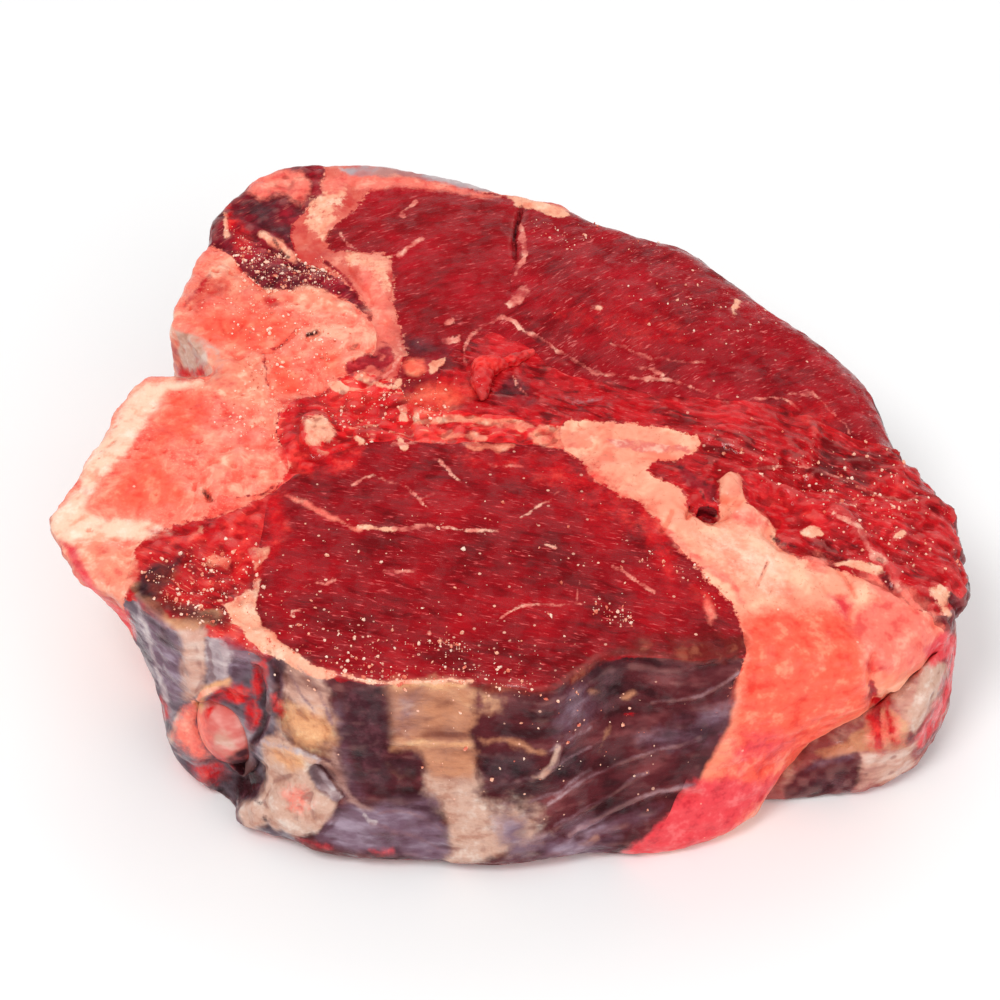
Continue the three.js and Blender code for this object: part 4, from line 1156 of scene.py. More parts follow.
def ownersOfParts(mesh):
    # every loose part goes to the node that it lies in, and scraps go to none
    label = looseParts(mesh)
    points = meshPoints(mesh)
    owner = np.full(len(points), -1)
    for part in np.unique(label):
        members = np.flatnonzero(label == part)
        if len(members) >= cut["scrap"]:
            probes = members[:: max(1, len(members) // 200)]
            owner[members] = np.bincount(nearestNode(points[probes], bodyNodes)).argmax()
    return owner


def pieceOf(mesh, owner, number, name):
    # a new object of the faces whose vertices belong to one node
    corners = readAll(mesh.loops, "vertex_index")
    starts, sizes = readAll(mesh.polygons, "loop_start"), readAll(mesh.polygons, "loop_total")
    mine = np.flatnonzero(owner == number)
    renumber = np.full(len(owner), -1)
    renumber[mine] = np.arange(len(mine))
    kept = owner[corners[starts]] == number
    faces = [renumber[corners[s : s + n]].tolist() for s, n in zip(starts[kept], sizes[kept])]
    return newObject(name, newMesh(name, meshPoints(mesh)[mine], faces))


cutAlongSeams(skin)
owner = ownersOfParts(skin.data)
pieces = {node: pieceOf(skin.data, owner, number, node + "_meat") for number, node in enumerate(bodyNodes)}
bpy.data.objects.remove(skin)
print("cut into", len(pieces), "pieces:", {n: len(p.data.vertices) for n, p in pieces.items()})

# the three pieces that lie free of the seams
looseShapes = {
    "tail_flap": {"voxel": 0.0008, "rounds": 6, "crispness": 3, "coarse": 0.9, "fine": 0.35, "cell": 9},
    "joint_knob": {"voxel": 0.0005, "rounds": 6, "crispness": 2, "coarse": 0.25, "fine": 0.05, "cell": 7},
    "loose_shred": {"voxel": 0.00045, "rounds": 2, "crispness": 3, "coarse": 0.7, "fine": 0.3, "cell": 4},
}
# the curl of loose meat: places in pixels of the photograph, and how thick it is there, mm
shredRoute = {
    "spots": [
        (533, 352), (524, 358), (514, 363), (503, 367), (492, 368), (482, 374), (481, 385), (483, 397),
        (481, 402),
    ],
    "radii": [0.7, 1.6, 1.9, 1.8, 2.6, 3.2, 3.0, 1.5, 0.5],
    "steps": 4,
}


def onSurface(spot, tree):
    # the place on the steak that one pixel of the photograph shows
    across, above, ahead = cameraAxes()
    reach = shot["pixelsPerMetre"] * shot["distance"]
    right, up = (spot[0] - shot["aimPixel"][0]) / reach, (shot["aimPixel"][1] - spot[1]) / reach
    return tree.ray_cast(cameraPlace(), (ahead + across * right + above * up).normalized())[0]


def makeShred(name, tree):
    # overlapping balls along the curl, each resting on the meat under it
    route, form = shredRoute, bmesh.new()
    knots = [onSurface(spot, tree) for spot in route["spots"]]
    for first, second, thin, thick in zip(knots[:-1], knots[1:], route["radii"][:-1], route["radii"][1:]):
        for step in range(route["steps"]):
            share = step / route["steps"]
            radius = (thin + (thick - thin) * share) * millimetre
            place = first.lerp(second, share) + Vector((0.0, 0.0, 0.55 * radius))
            bmesh.ops.create_icosphere(form, subdivisions=2, radius=radius, matrix=Matrix.Translation(place))
    mesh = bpy.data.meshes.new(name)
    form.to_mesh(mesh)
    form.free()
    return newObject(name, mesh)


def makeLoosePiece(node, shape):
    name = node + "_meat"
    if node == "loose_shred":
        thing = makeShred(name, objectTree(pieces.values()))
    else:
        thing = swollenCopy(name, [node], 0.0)
    remeshed(thing, shape["voxel"])
    mesh = thing.data
    smoothKeepingEdges(mesh, shape["rounds"], shape["crispness"])
    points, normals = meshPoints(mesh), broadNormals(mesh, 3)
    plan = toPlan(points)
    height = shape["coarse"] * layeredNoise(plan, shape["cell"], 71)
    height += shape["fine"] * noise(plan, shape["cell"] / 4, 73)
    points = points + normals * (height * millimetre)[:, None]
    points[:, 2] = np.maximum(points[:, 2], 0.0)
    setPoints(mesh, points)
    return thing


for node, shape in looseShapes.items():
    pieces[node] = makeLoosePiece(node, shape)
print("loose pieces made")


# three tones of each tissue, light to dark, and the field that mixes them; crisp is how soft its border is
tones = {
    "tongues": {
        "colours": [(128, 6, 16), (180, 22, 32), (220, 66, 60)], "field": "ToneB", "crisp": 0.12, "ragged": 1.8,
        "edge": "EdgeA",
    },
    "strings": {
        "colours": [(226, 88, 74), (240, 132, 110), (250, 174, 146)], "field": "ToneB", "crisp": 0.12,
        "ragged": -1.8, "edge": "EdgeA",
    },
    "rind": {
        "colours": [(132, 60, 60), (186, 124, 112), (224, 186, 170)], "field": "Strand", "crisp": 0.24,
        "thin": 0.5, "ragged": 1, "edge": "ToneA",
    },
    "membrane": {
        "colours": [(58, 16, 22), (88, 32, 38), (124, 64, 66)], "field": "Strand", "crisp": 0.3,
        "edge": "ToneB",
    },
    "cream": {
        "colours": [(184, 132, 112), (208, 166, 147), (226, 202, 188)], "field": "ToneA", "crisp": 0.26,
        "ragged": 0.9, "edge": "ToneB",
    },
    "ash": {
        "colours": [(168, 112, 98), (206, 156, 138), (226, 194, 180)], "field": "Strand", "crisp": 0.26,
        "thin": 0.3, "ragged": 0.9, "edge": "ToneA",
    },
    "tan": {
        "colours": [(162, 100, 78), (196, 131, 98), (222, 165, 126)], "field": "Strand", "crisp": 0.24,
        "thin": 0.15, "ragged": 0.9, "edge": "ToneA",
    },
    "honey": {
        "colours": [(204, 130, 88), (230, 164, 116), (246, 198, 148)], "field": "ToneA", "crisp": 0.34,
        "edge": "ToneB",
    },
    "violet": {
        "colours": [(78, 46, 58), (118, 88, 104), (164, 142, 158)], "field": "Strand", "crisp": 0.36,
        "thin": 0.3, "edge": "ToneA",
    },
    # deep maroon tissue, also used as painted shade and painted shadow
    "darkTissueAndShade": {
        "colours": [(40, 14, 20), (66, 28, 36), (96, 50, 58)], "field": "ToneB", "crisp": 0.36, "edge": "ToneA",
    },
    "dried": {
        "colours": [(70, 12, 14), (112, 30, 26), (150, 72, 54)], "field": "ToneB", "crisp": 0.3, "thin": 0.2,
        "edge": "ToneA",
    },
    "fat": {
        "colours": [(236, 132, 104), (248, 174, 142), (255, 208, 178)], "field": "ToneA", "ragged": 1.1,
        "crisp": 0.14, "soft": 4,
    },
    "ivory": {"colours": [(242, 170, 140), (251, 206, 178), (255, 226, 204)], "field": "ToneA", "crisp": 0.3},
    "chalk": {
        "colours": [(228, 88, 72), (243, 140, 112), (252, 194, 162)], "field": "ToneB", "crisp": 0.2,
        "thin": 0.3,
    },
    "coral": {"colours": [(236, 68, 52), (250, 98, 74), (255, 142, 110)], "field": "ToneA", "crisp": 0.44},
    "pink": {"colours": [(232, 84, 76), (248, 122, 104), (254, 164, 140)], "field": "ToneA", "crisp": 0.3},
    "rose": {"colours": [(204, 40, 54), (232, 68, 76), (242, 108, 110)], "field": "ToneA", "crisp": 0.36},
    "marbleAndSheen": {
        "colours": [(196, 56, 58), (226, 116, 104), (248, 184, 160)], "field": "ToneB", "soft": 3, "thin": 0.55,
        "ragged": 1.2, "crisp": 0.16,
    },
    "flesh": {"colours": [(100, 6, 16), (156, 16, 30), (204, 50, 54)], "field": "ToneA", "crisp": 0.18},
    "blood": {
        "colours": [(150, 4, 14), (206, 14, 24), (240, 60, 52)], "field": "ToneB", "crisp": 0.34, "thin": 0.3,
    },
    "grey": {
        "colours": [(136, 112, 118), (176, 154, 158), (220, 204, 202)], "field": "Strand", "crisp": 0.24,
        "thin": 0.4,
    },
    "thread": {
        "colours": [(98, 58, 64), (130, 90, 98), (172, 138, 144)], "field": "Strand", "soft": 3.5, "crisp": 0.3,
        "thin": 0.6,
    },
    # near-black painted shade for holes, slits and gaps
    "recessShade": {"colours": [(26, 6, 9), (52, 14, 18), (92, 34, 36)], "field": "ToneB", "crisp": 0.24, "soft": 4},
}
pale = ("bone", "fat_kernel", "seam_fat")
rind = {"cell": (26, 26, 12), "noise": (-0.1, 0.3)}  # fat and skin over the sides that the photograph hides
# along a seam between a pale piece and a red one each reaches into the other, more so near the face, mm
border = {"reach": 1.9, "height": (34.0, 50.0)}


def outsideOf(node, mesh):
    # broad normals and crests; those of a cut piece are the whole skin's, so that no cut shows in them
    if node in looseShapes:
        return broadNormals(mesh, 5), crestShare(mesh)
    rows = [skinTree.find(point)[1] for point in meshPoints(mesh)]
    return skinNormals[rows], skinCrest[rows]


def borderShare(node, points):
    # a half where a pale piece meets a red one, and falling away from there
    tree = borderTrees["red" if node in pale else "pale"]
    gap = np.array([tree.find(point)[2] for point in points]) / millimetre
    return 0.5 * (1 - gap / border["reach"]).clip(0, 1) * ramp(*border["height"], points[:, 2] / millimetre)


def paintShares(node, mesh, seen, normals):
    # the share of every painted tissue at each vertex, and how much it belongs to the outer wall
    points = meshPoints(mesh)
    spots = wanderingSpots(points)
    swing = wobble["swing"] * layeredNoise(toPlan(points), wobble["fineCell"], 91, 2)
    steep = 1 - ramp(0.4, 0.72, np.abs(normals[:, 2]))
    low = (1 - ramp(*wallTop, points[:, 2] / millimetre)) * ramp(-0.5, -0.3, normals[:, 2])
    shares = {"side": np.maximum(steep, low)}
    if node in bodyNodes:
        shares["tongues" if node in pale else "strings"] = borderShare(node, points)
        patches = ramp(*rind["noise"], layeredNoise(toPlan(points), rind["cell"], 97))
        shares["rind"] = (1 - seen) * steep * patches
    for tissue, marks in paint.items():
        usual = tones.get(tissue, {}).get("soft", 6.0)
        total = np.zeros(len(points))
        for mark in marks.values():
            if mark.get("only", node) == node:
                total = np.maximum(total, markShare(spots, mark, mark.get("soft", usual), swing))
        total *= seen
        if total.max() > 0.1:
            shares[tissue] = total
    return shares


def storeShares(mesh, shares):
    for name, values in shares.items():
        attribute = mesh.attributes.new(name, "FLOAT", "POINT")
        attribute.data.foreach_set("value", values.astype(np.float32))


wallTop = (40.0, 45.0)  # below this height everything that doesn't face down is the outer wall, mm
borderTrees = {
    "pale": treeOfPoints([pieces[node] for node in pale]),
    "red": treeOfPoints([pieces[node] for node in bodyNodes if node not in pale]),
}
wholeTree = objectTree(pieces.values())
pieceShares = {}
for node, piece in pieces.items():
    mesh = piece.data
    mesh.set_sharp_from_angle(angle=math.radians(60))
    seen = spread(seenFromShot(meshPoints(mesh), wholeTree), mesh, 2)[:, 0]
    normals, crest = outsideOf(node, mesh)
    pieceShares[node] = paintShares(node, mesh, seen, normals)
    # no painted pit shade or crest highlight over the dried rim
    crest += (0.5 - crest) * pieceShares[node].get("dried", 0.0)
    storeShares(mesh, pieceShares[node] | {"crest": crest})
print("painted:", {node: sorted(shares) for node, shares in pieceShares.items()})

# bits of sawn bone and fat that the saw left on the meat, in mm
crumbs = {
    "name": "saw_crumbs", "count": 2700, "seed": 7, "small": 0.12, "large": 0.58, "skew": 5, "jitter": 0.45,
}


def crumbForm():
    # the corners and faces of a ball of twenty triangles
    shape = bmesh.new()
    bmesh.ops.create_icosphere(shape, subdivisions=1, radius=1.0)
    corners = np.array([tuple(v.co) for v in shape.verts])
    faces = np.array([[v.index for v in face.verts] for face in shape.faces])
    shape.free()
    return corners, faces


def makeCrumbs():
    draw = np.random.default_rng(crumbs["seed"])
    places, ways, chances = [], [], []
    for node, piece in pieces.items():
        if "dust" in pieceShares[node]:
            places.append(meshPoints(piece.data))
            ways.append(broadNormals(piece.data, 2))
            chances.append(pieceShares[node]["dust"] ** 1.7)
    places, ways, chances = np.vstack(places), np.vstack(ways), np.concatenate(chances)
    picked = draw.choice(len(places), crumbs["count"], replace=False, p=chances / chances.sum())
    corners, faces = crumbForm()
    span = crumbs["large"] - crumbs["small"]
    radius = (crumbs["small"] + span * draw.random(len(picked)) ** crumbs["skew"]) * millimetre
    points = []
    for spot, size in zip(picked, radius):
        turn = np.linalg.qr(draw.normal(size=(3, 3)))[0]
        form = corners * (1 + crumbs["jitter"] * draw.uniform(-1, 1, corners.shape))
        form = form * draw.uniform(0.6, 1.4, 3) @ turn
        points.append(places[spot] + ways[spot] * size * 0.35 + form * size)
    allFaces = (faces[None] + len(corners) * np.arange(len(picked))[:, None, None]).reshape(-1, 3)
    thing = newObject(crumbs["name"], newMesh(crumbs["name"], np.vstack(points), allFaces.tolist()))
    storeShares(thing.data, {"tone": np.repeat(draw.random(len(picked)), len(corners))})
    return thing


crumbPiece = makeCrumbs()
print("crumbs made:", len(crumbPiece.data.polygons), "faces")


def tint(colour):
    linear = [(c / 255 / 12.92) if c <= 10 else ((c / 255 + 0.055) / 1.055) ** 2.4 for c in colour]
    return (*linear, 1.0)


def addNode(tree, kind, inputs=None, **settings):
    node = tree.nodes.new(kind)
    for key, value in settings.items():
        setattr(node, key, value)
    for key, value in (inputs or {}).items():
        if isinstance(value, bpy.types.NodeSocket):
            tree.links.new(value, node.inputs[key])
        else:
            node.inputs[key].default_value = value
    return node


def maths(tree, operation, first, second=0.0, third=0.0):
    return addNode(tree, "ShaderNodeMath", {0: first, 1: second, 2: third}, operation=operation).outputs[0]


def times(tree, first, second):
    return maths(tree, "MULTIPLY", first, second)


def rampNode(tree, value, low, high, start=0.0, end=1.0):
    return addNode(
        tree, "ShaderNodeMapRange",
        {"Value": value, "From Min": low, "From Max": high, "To Min": start, "To Max": end},
        interpolation_type="SMOOTHSTEP",
    ).outputs[0]


def mixColour(tree, share, below, above, blend="MIX"):
    inputs = {0: share, 6: below, 7: above}  # the factor and the two colour sockets
    return addNode(tree, "ShaderNodeMix", inputs, data_type="RGBA", blend_type=blend).outputs[2]


def noiseNode(tree, place, cell, detail=2.0, rough=0.5, twist=0.0):
    # cell is the size of one noise lump in mm; place is in metres
    inputs = {"Vector": place, "Detail": detail, "Roughness": rough, "Distortion": twist}
    if isinstance(cell, bpy.types.NodeSocket):
        inputs["Scale"] = maths(tree, "DIVIDE", 1000.0, cell)
    else:
        inputs["Scale"] = 1000.0 / cell
    return addNode(tree, "ShaderNodeTexNoise", inputs)


def stretched(tree, place, turn, scale):
    inputs = {"Vector": place, "Rotation": (0.0, 0.0, math.radians(turn)), "Scale": scale}
    return addNode(tree, "ShaderNodeMapping", inputs).outputs[0]


def newGroup(name, inputs, outputs):
    # a shader node group; its sockets are given as one list of names for each kind
    group = bpy.data.node_groups.new(name, "ShaderNodeTree")
    for way, sockets in (("INPUT", inputs), ("OUTPUT", outputs)):
        for kind, labels in sockets.items():
            for label in labels.split():
                group.interface.new_socket(label, in_out=way, socket_type="NodeSocket" + kind)
    return group, group.nodes.new("NodeGroupInput").outputs, group.nodes.new("NodeGroupOutput").inputs


def sendOut(group, end, **results):
    for label, value in results.items():
        group.links.new(value, end[label])
    return group


def threeTones(tree, value, low, middle, high, span=0.16):
    lower = mixColour(tree, rampNode(tree, value, 0.5 - span, 0.5), low, middle)
    return mixColour(tree, rampNode(tree, value, 0.5, 0.5 + span), lower, high)


surfaceOut = {"Color": "Color", "Float": "Height"}
# the painted highlight colour screened over crests
crestHighlightColour = (120, 84, 78)


def makeFieldsGroup():
    # uneven fields that a material's layers share: fine ones for ragged borders, broad ones for tones
    outputs = {"Float": "EdgeA EdgeB ToneA ToneB Strand"}
    group, start, end = newGroup("tissueFields", {"Vector": "Place"}, outputs)
    fine = noiseNode(group, start["Place"], 2.2, 3.0, 0.68).outputs["Color"]
    broad = noiseNode(group, start["Place"], 5.5, 3.0, 0.66).outputs["Color"]
    fine, broad = (addNode(group, "ShaderNodeSeparateColor", {0: colour}).outputs for colour in (fine, broad))
    drawn = noiseNode(group, stretched(group, start["Place"], 0, (0.45, 0.45, 1.0)), 6.0, 3.0, 0.55).outputs[0]
    return sendOut(group, end, EdgeA=fine[0], EdgeB=fine[1], ToneA=broad[0], ToneB=broad[1], Strand=drawn)


def makeFleshGroup():
    # cut muscle: bundles of dark, mid and bright red with short pale fibres between them, which also serve as
    # painted glints
    inputs = {"Vector": "Place", "Color": "Deep Middle Pale Bright", "Float": "Fibre Streaks"}
    group, start, end = newGroup("cutFlesh", inputs, surfaceOut)
    broad = noiseNode(group, start["Place"], 15.0, 1.0, 0.5).outputs[0]
    drawn = stretched(group, start["Place"], 6, (0.3, 1.0, 0.6))
    bundle = noiseNode(group, drawn, 2.3, 3.0, 0.62, 0.8).outputs[0]
    fibre = noiseNode(group, stretched(group, start["Place"], 0, (0.2, 1.0, 0.7)), start["Fibre"], 2.0, 0.55)
    fibre = fibre.outputs[0]
    tone = maths(group, "MULTIPLY_ADD", broad, 0.5, times(group, bundle, 0.5))
    ground = threeTones(group, tone, start["Deep"], start["Middle"], start["Bright"], 0.13)
    streakAndGlint = times(group, rampNode(group, fibre, 0.58, 0.72), rampNode(group, bundle, 0.4, 0.56))
    streakAndGlint = times(group, streakAndGlint, start["Streaks"])
    return sendOut(group, end, Color=mixColour(group, streakAndGlint, ground, start["Pale"]), Height=fibre)


def makeFatGroup():
    # hard white fat: soft lobules with thin cracks and warmer hollows
    inputs = {"Vector": "Place", "Color": "Deep Middle Pale Crack", "Float": "Lobule"}
    group, start, end = newGroup("hardFat", inputs, surfaceOut)
    place, warp = start["Place"], 0.006
    broad = noiseNode(group, place, 10.0, 3.0, 0.6, 0.3)
    ground = threeTones(group, broad.outputs[0], start["Deep"], start["Middle"], start["Pale"])
    inputs = {0: broad.outputs["Color"], 1: (warp, warp, warp), 2: place}
    bent = addNode(group, "ShaderNodeVectorMath", inputs, operation="MULTIPLY_ADD").outputs[0]
    inputs = {"Vector": bent, "Scale": maths(group, "DIVIDE", 1000.0, start["Lobule"])}
    edges = addNode(group, "ShaderNodeTexVoronoi", inputs, feature="DISTANCE_TO_EDGE").outputs["Distance"]
    grain = noiseNode(group, place, 0.8, 2.0, 0.6).outputs[0]
    crack = times(group, rampNode(group, edges, 0.045, 0.0), rampNode(group, grain, 0.5, 0.62))
    colour = mixColour(group, times(group, crack, 0.6), ground, start["Crack"])
    colour = mixColour(group, rampNode(group, grain, 0.6, 0.8, 0.0, 0.4), colour, start["Deep"])
    height = maths(group, "MULTIPLY_ADD", rampNode(group, edges, 0.0, 0.2), 0.4, grain)
    return sendOut(group, end, Color=colour, Height=height)


def makeBoneGroup():
    # sawn spongy bone: coral and cream grain with red pores
    group, start, end = newGroup("sawnBone", {"Vector": "Place", "Color": "Deep Middle Pale Pore"}, surfaceOut)
    place = start["Place"]
    broad = noiseNode(group, place, 11.0, 4.0, 0.7, 0.6).outputs[0]
    ground = threeTones(group, broad, start["Deep"], start["Middle"], start["Pale"])
    grain = noiseNode(group, place, 0.8, 3.0, 0.7).outputs[0]
    colour = mixColour(group, rampNode(group, grain, 0.5, 0.72, 0.0, 0.5), ground, start["Pale"])
    pore = times(group, rampNode(group, grain, 0.4, 0.26), rampNode(group, broad, 0.54, 0.44))
    colour = mixColour(group, times(group, pore, 0.85), colour, start["Pore"])
    return sendOut(group, end, Color=colour, Height=grain)


def makeLayerGroup():
    # one tissue laid over another where its share, made ragged by noise, passes a half
    inputs = {"Color": "Below Low Middle High", "Float": "Share Tone Edge Ragged Crisp Thin"}
    group, start, end = newGroup("tissueLayer", inputs, {"Color": "Color"})
    colour = threeTones(group, start["Tone"], start["Low"], start["Middle"], start["High"], 0.2)
    swing = times(group, maths(group, "SUBTRACT", start["Edge"], 0.5), start["Ragged"])
    share = maths(group, "MULTIPLY_ADD", swing, rampNode(group, start["Share"], 0.0, 0.15), start["Share"])
    low = maths(group, "SUBTRACT", 0.5, start["Crisp"])
    high = maths(group, "ADD", 0.5, start["Crisp"])
    worn = times(group, rampNode(group, start["Tone"], 0.54, 0.4), start["Thin"])
    cover = times(group, rampNode(group, share, low, high), maths(group, "SUBTRACT", 1.0, worn))
    return sendOut(group, end, Color=mixColour(group, cover, start["Below"], colour))


def makeCrestLightGroup():
    # painted shade darkens the tissue in pits, and a painted highlight lightens it on crests
    inputs = {"Color": "Below Pit", "Float": "Crest Depth"}
    group, start, end = newGroup("paintedCrestLight", inputs, {"Color": "Color"})
    pit = times(group, rampNode(group, start["Crest"], 0.46, 0.1), start["Depth"])
    crest = times(group, rampNode(group, start["Crest"], 0.56, 0.95), start["Depth"])
    colour = mixColour(group, pit, start["Below"], start["Pit"], "MULTIPLY")
    return sendOut(group, end, Color=mixColour(group, crest, colour, tint(crestHighlightColour), "SCREEN"))


def makeDustGroup():
    # specks of sawn bone and fat too small for crumbs, thick where the dust share is high
    inputs = {"Vector": "Place", "Color": "Below Speck", "Float": "Share Edge"}
    group, start, end = newGroup("boneDust", inputs, {"Color": "Color"})
    cells = addNode(group, "ShaderNodeTexVoronoi", {"Vector": start["Place"], "Scale": 820.0})
    draws = addNode(group, "ShaderNodeSeparateColor", {0: cells.outputs["Color"]}).outputs
    kept = maths(group, "LESS_THAN", draws[0], maths(group, "MULTIPLY_ADD", start["Share"], 0.24, 0.006))
    size = maths(group, "MULTIPLY_ADD", draws[1], 0.2, times(group, start["Edge"], 0.3))
    outside = maths(group, "SUBTRACT", cells.outputs["Distance"], size)
    speck = times(group, rampNode(group, outside, 0.05, -0.05), kept)
    speck = times(group, speck, rampNode(group, draws[2], 0.0, 1.0, 0.45, 0.95))
    return sendOut(group, end, Color=mixColour(group, speck, start["Below"], start["Speck"]))


def makeWetGroup():
    # the wet film: uneven gloss, and a fine unevenness that breaks up the highlights
    inputs = {"Vector": "Place", "Float": "Dry Wet"}
    group, start, end = newGroup("wetFilm", inputs, {"Float": "Roughness Coat Height"})
    film = noiseNode(group, start["Place"], 5.0, 2.0, 0.6).outputs[0]
    fine = noiseNode(group, start["Place"], 0.75, 2.0, 0.65).outputs[0]
    rough = maths(group, "ADD", rampNode(group, film, 0.35, 0.65, -0.14, 0.12), start["Dry"])
    coat = times(group, rampNode(group, film, 0.58, 0.42), start["Wet"])
    return sendOut(group, end, Roughness=rough, Coat=coat, Height=fine)


groups = {
    "fields": makeFieldsGroup(), "flesh": makeFleshGroup(), "fat": makeFatGroup(), "bone": makeBoneGroup(),
    "layer": makeLayerGroup(), "crest": makeCrestLightGroup(), "dust": makeDustGroup(), "wet": makeWetGroup(),
}


def useGroup(tree, name, inputs):
    return addNode(tree, "ShaderNodeGroup", inputs, node_tree=groups[name]).outputs


# each piece's own tissue, and the tissue that its outer wall shows
finishes = {
    "strip_loin": {
        "ground": "flesh", "deep": (112, 1, 9), "middle": (146, 5, 18), "bright": (170, 9, 22),
        "pale": (226, 92, 92), "fibre": 0.5, "streaks": 0.85, "turn": 14,
        "wall": {"colours": [(54, 14, 20), (86, 28, 34), (124, 60, 62)]},
    },
    "tenderloin": {
        "ground": "flesh", "deep": (130, 6, 15), "middle": (156, 10, 22), "bright": (176, 16, 30),
        "pale": (226, 100, 98), "fibre": 0.6, "streaks": 0.7, "turn": -20,
        "wall": {"colours": [(84, 26, 34), (132, 66, 68), (196, 142, 130)], "crisp": 0.3},
    },
    "rump_muscle": {
        "ground": "flesh", "deep": (122, 3, 14), "middle": (154, 9, 22), "bright": (176, 16, 30),
        "pale": (232, 116, 112), "fibre": 0.55, "streaks": 0.75, "turn": -34,
        "wall": {"colours": [(48, 8, 16), (86, 16, 26), (132, 56, 62)]},
    },
    "flank_muscle": {
        "ground": "flesh", "deep": (116, 3, 10), "middle": (188, 12, 22), "bright": (216, 34, 40),
        "pale": (240, 112, 108), "fibre": 0.5, "streaks": 0.6, "turn": 20,
        "wall": {"colours": [(66, 8, 16), (116, 18, 28), (170, 78, 80)]},
    },
    "back_muscle": {
        "ground": "flesh", "deep": (112, 4, 10), "middle": (192, 22, 28), "bright": (226, 54, 48),
        "pale": (250, 136, 112), "fibre": 0.8, "streaks": 0.7, "turn": 30,
        "wall": {"colours": [(62, 42, 50), (104, 86, 96), (160, 144, 150)]},
    },
    "side_muscle": {
        "ground": "flesh", "deep": (82, 4, 18), "middle": (122, 10, 28), "bright": (168, 26, 42),
        "pale": (236, 120, 104), "fibre": 0.8, "streaks": 0.5, "turn": -40,
        "wall": {"colours": [(70, 18, 28), (116, 34, 44), (186, 110, 108)]},
    },
    "stem_tissue": {
        "ground": "flesh", "deep": (162, 4, 12), "middle": (228, 28, 32), "bright": (240, 70, 60),
        "pale": (252, 160, 130), "fibre": 1.3, "streaks": 0.9, "turn": 0,
        "wall": {"colours": [(150, 16, 22), (222, 54, 50), (250, 150, 122)]},
    },
    "seam_fat": {
        "ground": "fat", "deep": (206, 66, 58), "middle": (222, 104, 88), "pale": (240, 148, 126),
        "crack": (190, 60, 54), "lobule": 4.5,
        "wall": {"colours": [(176, 96, 88), (206, 146, 130), (230, 196, 180)]},
    },
    "fat_kernel": {
        "ground": "fat", "deep": (244, 128, 102), "middle": (251, 160, 130), "pale": (255, 192, 158),
        "crack": (196, 110, 84), "lobule": 7,
        "wall": {"colours": [(244, 112, 84), (250, 142, 110), (252, 178, 146)], "crisp": 0.4},
    },
    "bone": {
        "ground": "bone", "deep": (240, 84, 70), "middle": (250, 126, 104), "pale": (254, 178, 148),
        "pore": (196, 30, 30), "wall": {"colours": [(190, 86, 80), (236, 146, 122), (248, 200, 172)]},
    },
    "joint_knob": {
        "ground": "fat", "deep": (204, 78, 74), "middle": (220, 110, 100), "pale": (236, 166, 152),
        "crack": (206, 76, 80), "lobule": 14,
        "wall": {"colours": [(190, 68, 68), (212, 100, 92), (230, 156, 146)], "crisp": 0.4},
    },
    "tail_flap": {
        "ground": "flesh", "deep": (84, 14, 24), "middle": (136, 28, 38), "bright": (176, 50, 56),
        "pale": (206, 122, 112), "fibre": 0.8, "streaks": 0.5, "turn": 20,
        "wall": {"colours": [(96, 34, 42), (156, 74, 72), (216, 164, 144)]},
    },
    "loose_shred": {
        "ground": "flesh", "deep": (176, 6, 14), "middle": (226, 22, 26), "bright": (244, 56, 50),
        "pale": (250, 120, 104), "fibre": 0.9, "streaks": 0.5, "turn": 0,
        "wall": {"colours": [(168, 6, 14), (218, 22, 28), (242, 72, 66)]},
    },
}
# depth and pit set how strong the painted pit shade and crest highlight are, and the colour of the painted pit
# shade
gloss = {
    "flesh": {"dry": 0.42, "wet": 0.6, "bump": 0.0005, "specular": 0.1, "depth": 0.5, "pit": (150, 84, 92)},
    "fat": {"dry": 0.46, "wet": 0.3, "bump": 0.0002, "specular": 0.16, "depth": 0.4, "pit": (240, 140, 120)},
    "bone": {"dry": 0.48, "wet": 0.4, "bump": 0.0003, "specular": 0.16, "depth": 0.5, "pit": (240, 124, 108)},
}
dustColour = (250, 190, 166)


def attributeNode(tree, name):
    return addNode(tree, "ShaderNodeAttribute", attribute_type="GEOMETRY", attribute_name=name).outputs["Fac"]


def layOver(tree, fields, below, share, tone, edge):
    low, middle, high = (tint(colour) for colour in tone["colours"])
    return useGroup(tree, "layer", {
        "Below": below, "Share": share, "Low": low, "Middle": middle, "High": high,
        "Tone": fields[tone.get("field", "Strand")], "Edge": fields[edge],
        "Ragged": tone.get("ragged", 0.8), "Crisp": tone.get("crisp", 0.08), "Thin": tone.get("thin", 0.0),
    })["Color"]


def ownGround(tree, place, finish):
    kind = finish["ground"]
    inputs = {"Place": place} | {name: tint(finish[name.lower()]) for name in ("Deep", "Middle", "Pale")}
    if kind == "flesh":
        inputs["Place"] = stretched(tree, place, finish["turn"], (1, 1, 1))
        inputs |= {"Bright": tint(finish["bright"]), "Fibre": finish["fibre"], "Streaks": finish["streaks"]}
    elif kind == "fat":
        inputs |= {"Lobule": finish["lobule"], "Crack": tint(finish["crack"])}
    else:
        inputs |= {"Pore": tint(finish["pore"])}
    return useGroup(tree, kind, inputs)


def wetShader(tree, place, colour, relief, surface):
    # links the colour, gloss and bump of one surface into the material's own shader
    shader = tree.nodes["Principled BSDF"]
    wet = useGroup(tree, "wet", {"Place": place, "Dry": surface["dry"], "Wet": surface["wet"]})
    height = maths(tree, "MULTIPLY_ADD", relief, 0.6, times(tree, wet["Height"], 0.6))
    bump = addNode(tree, "ShaderNodeBump", {"Height": height, "Distance": surface["bump"], "Strength": 0.9})
    for socket, value in (
        ("Base Color", colour), ("Roughness", wet["Roughness"]), ("Coat Weight", wet["Coat"]),
        ("Normal", bump.outputs["Normal"]),
    ):
        tree.links.new(value, shader.inputs[socket])
    shader.inputs["Specular IOR Level"].default_value = surface["specular"]
    shader.inputs["Coat Roughness"].default_value = 0.1
    shader.inputs["Coat IOR"].default_value = 1.35


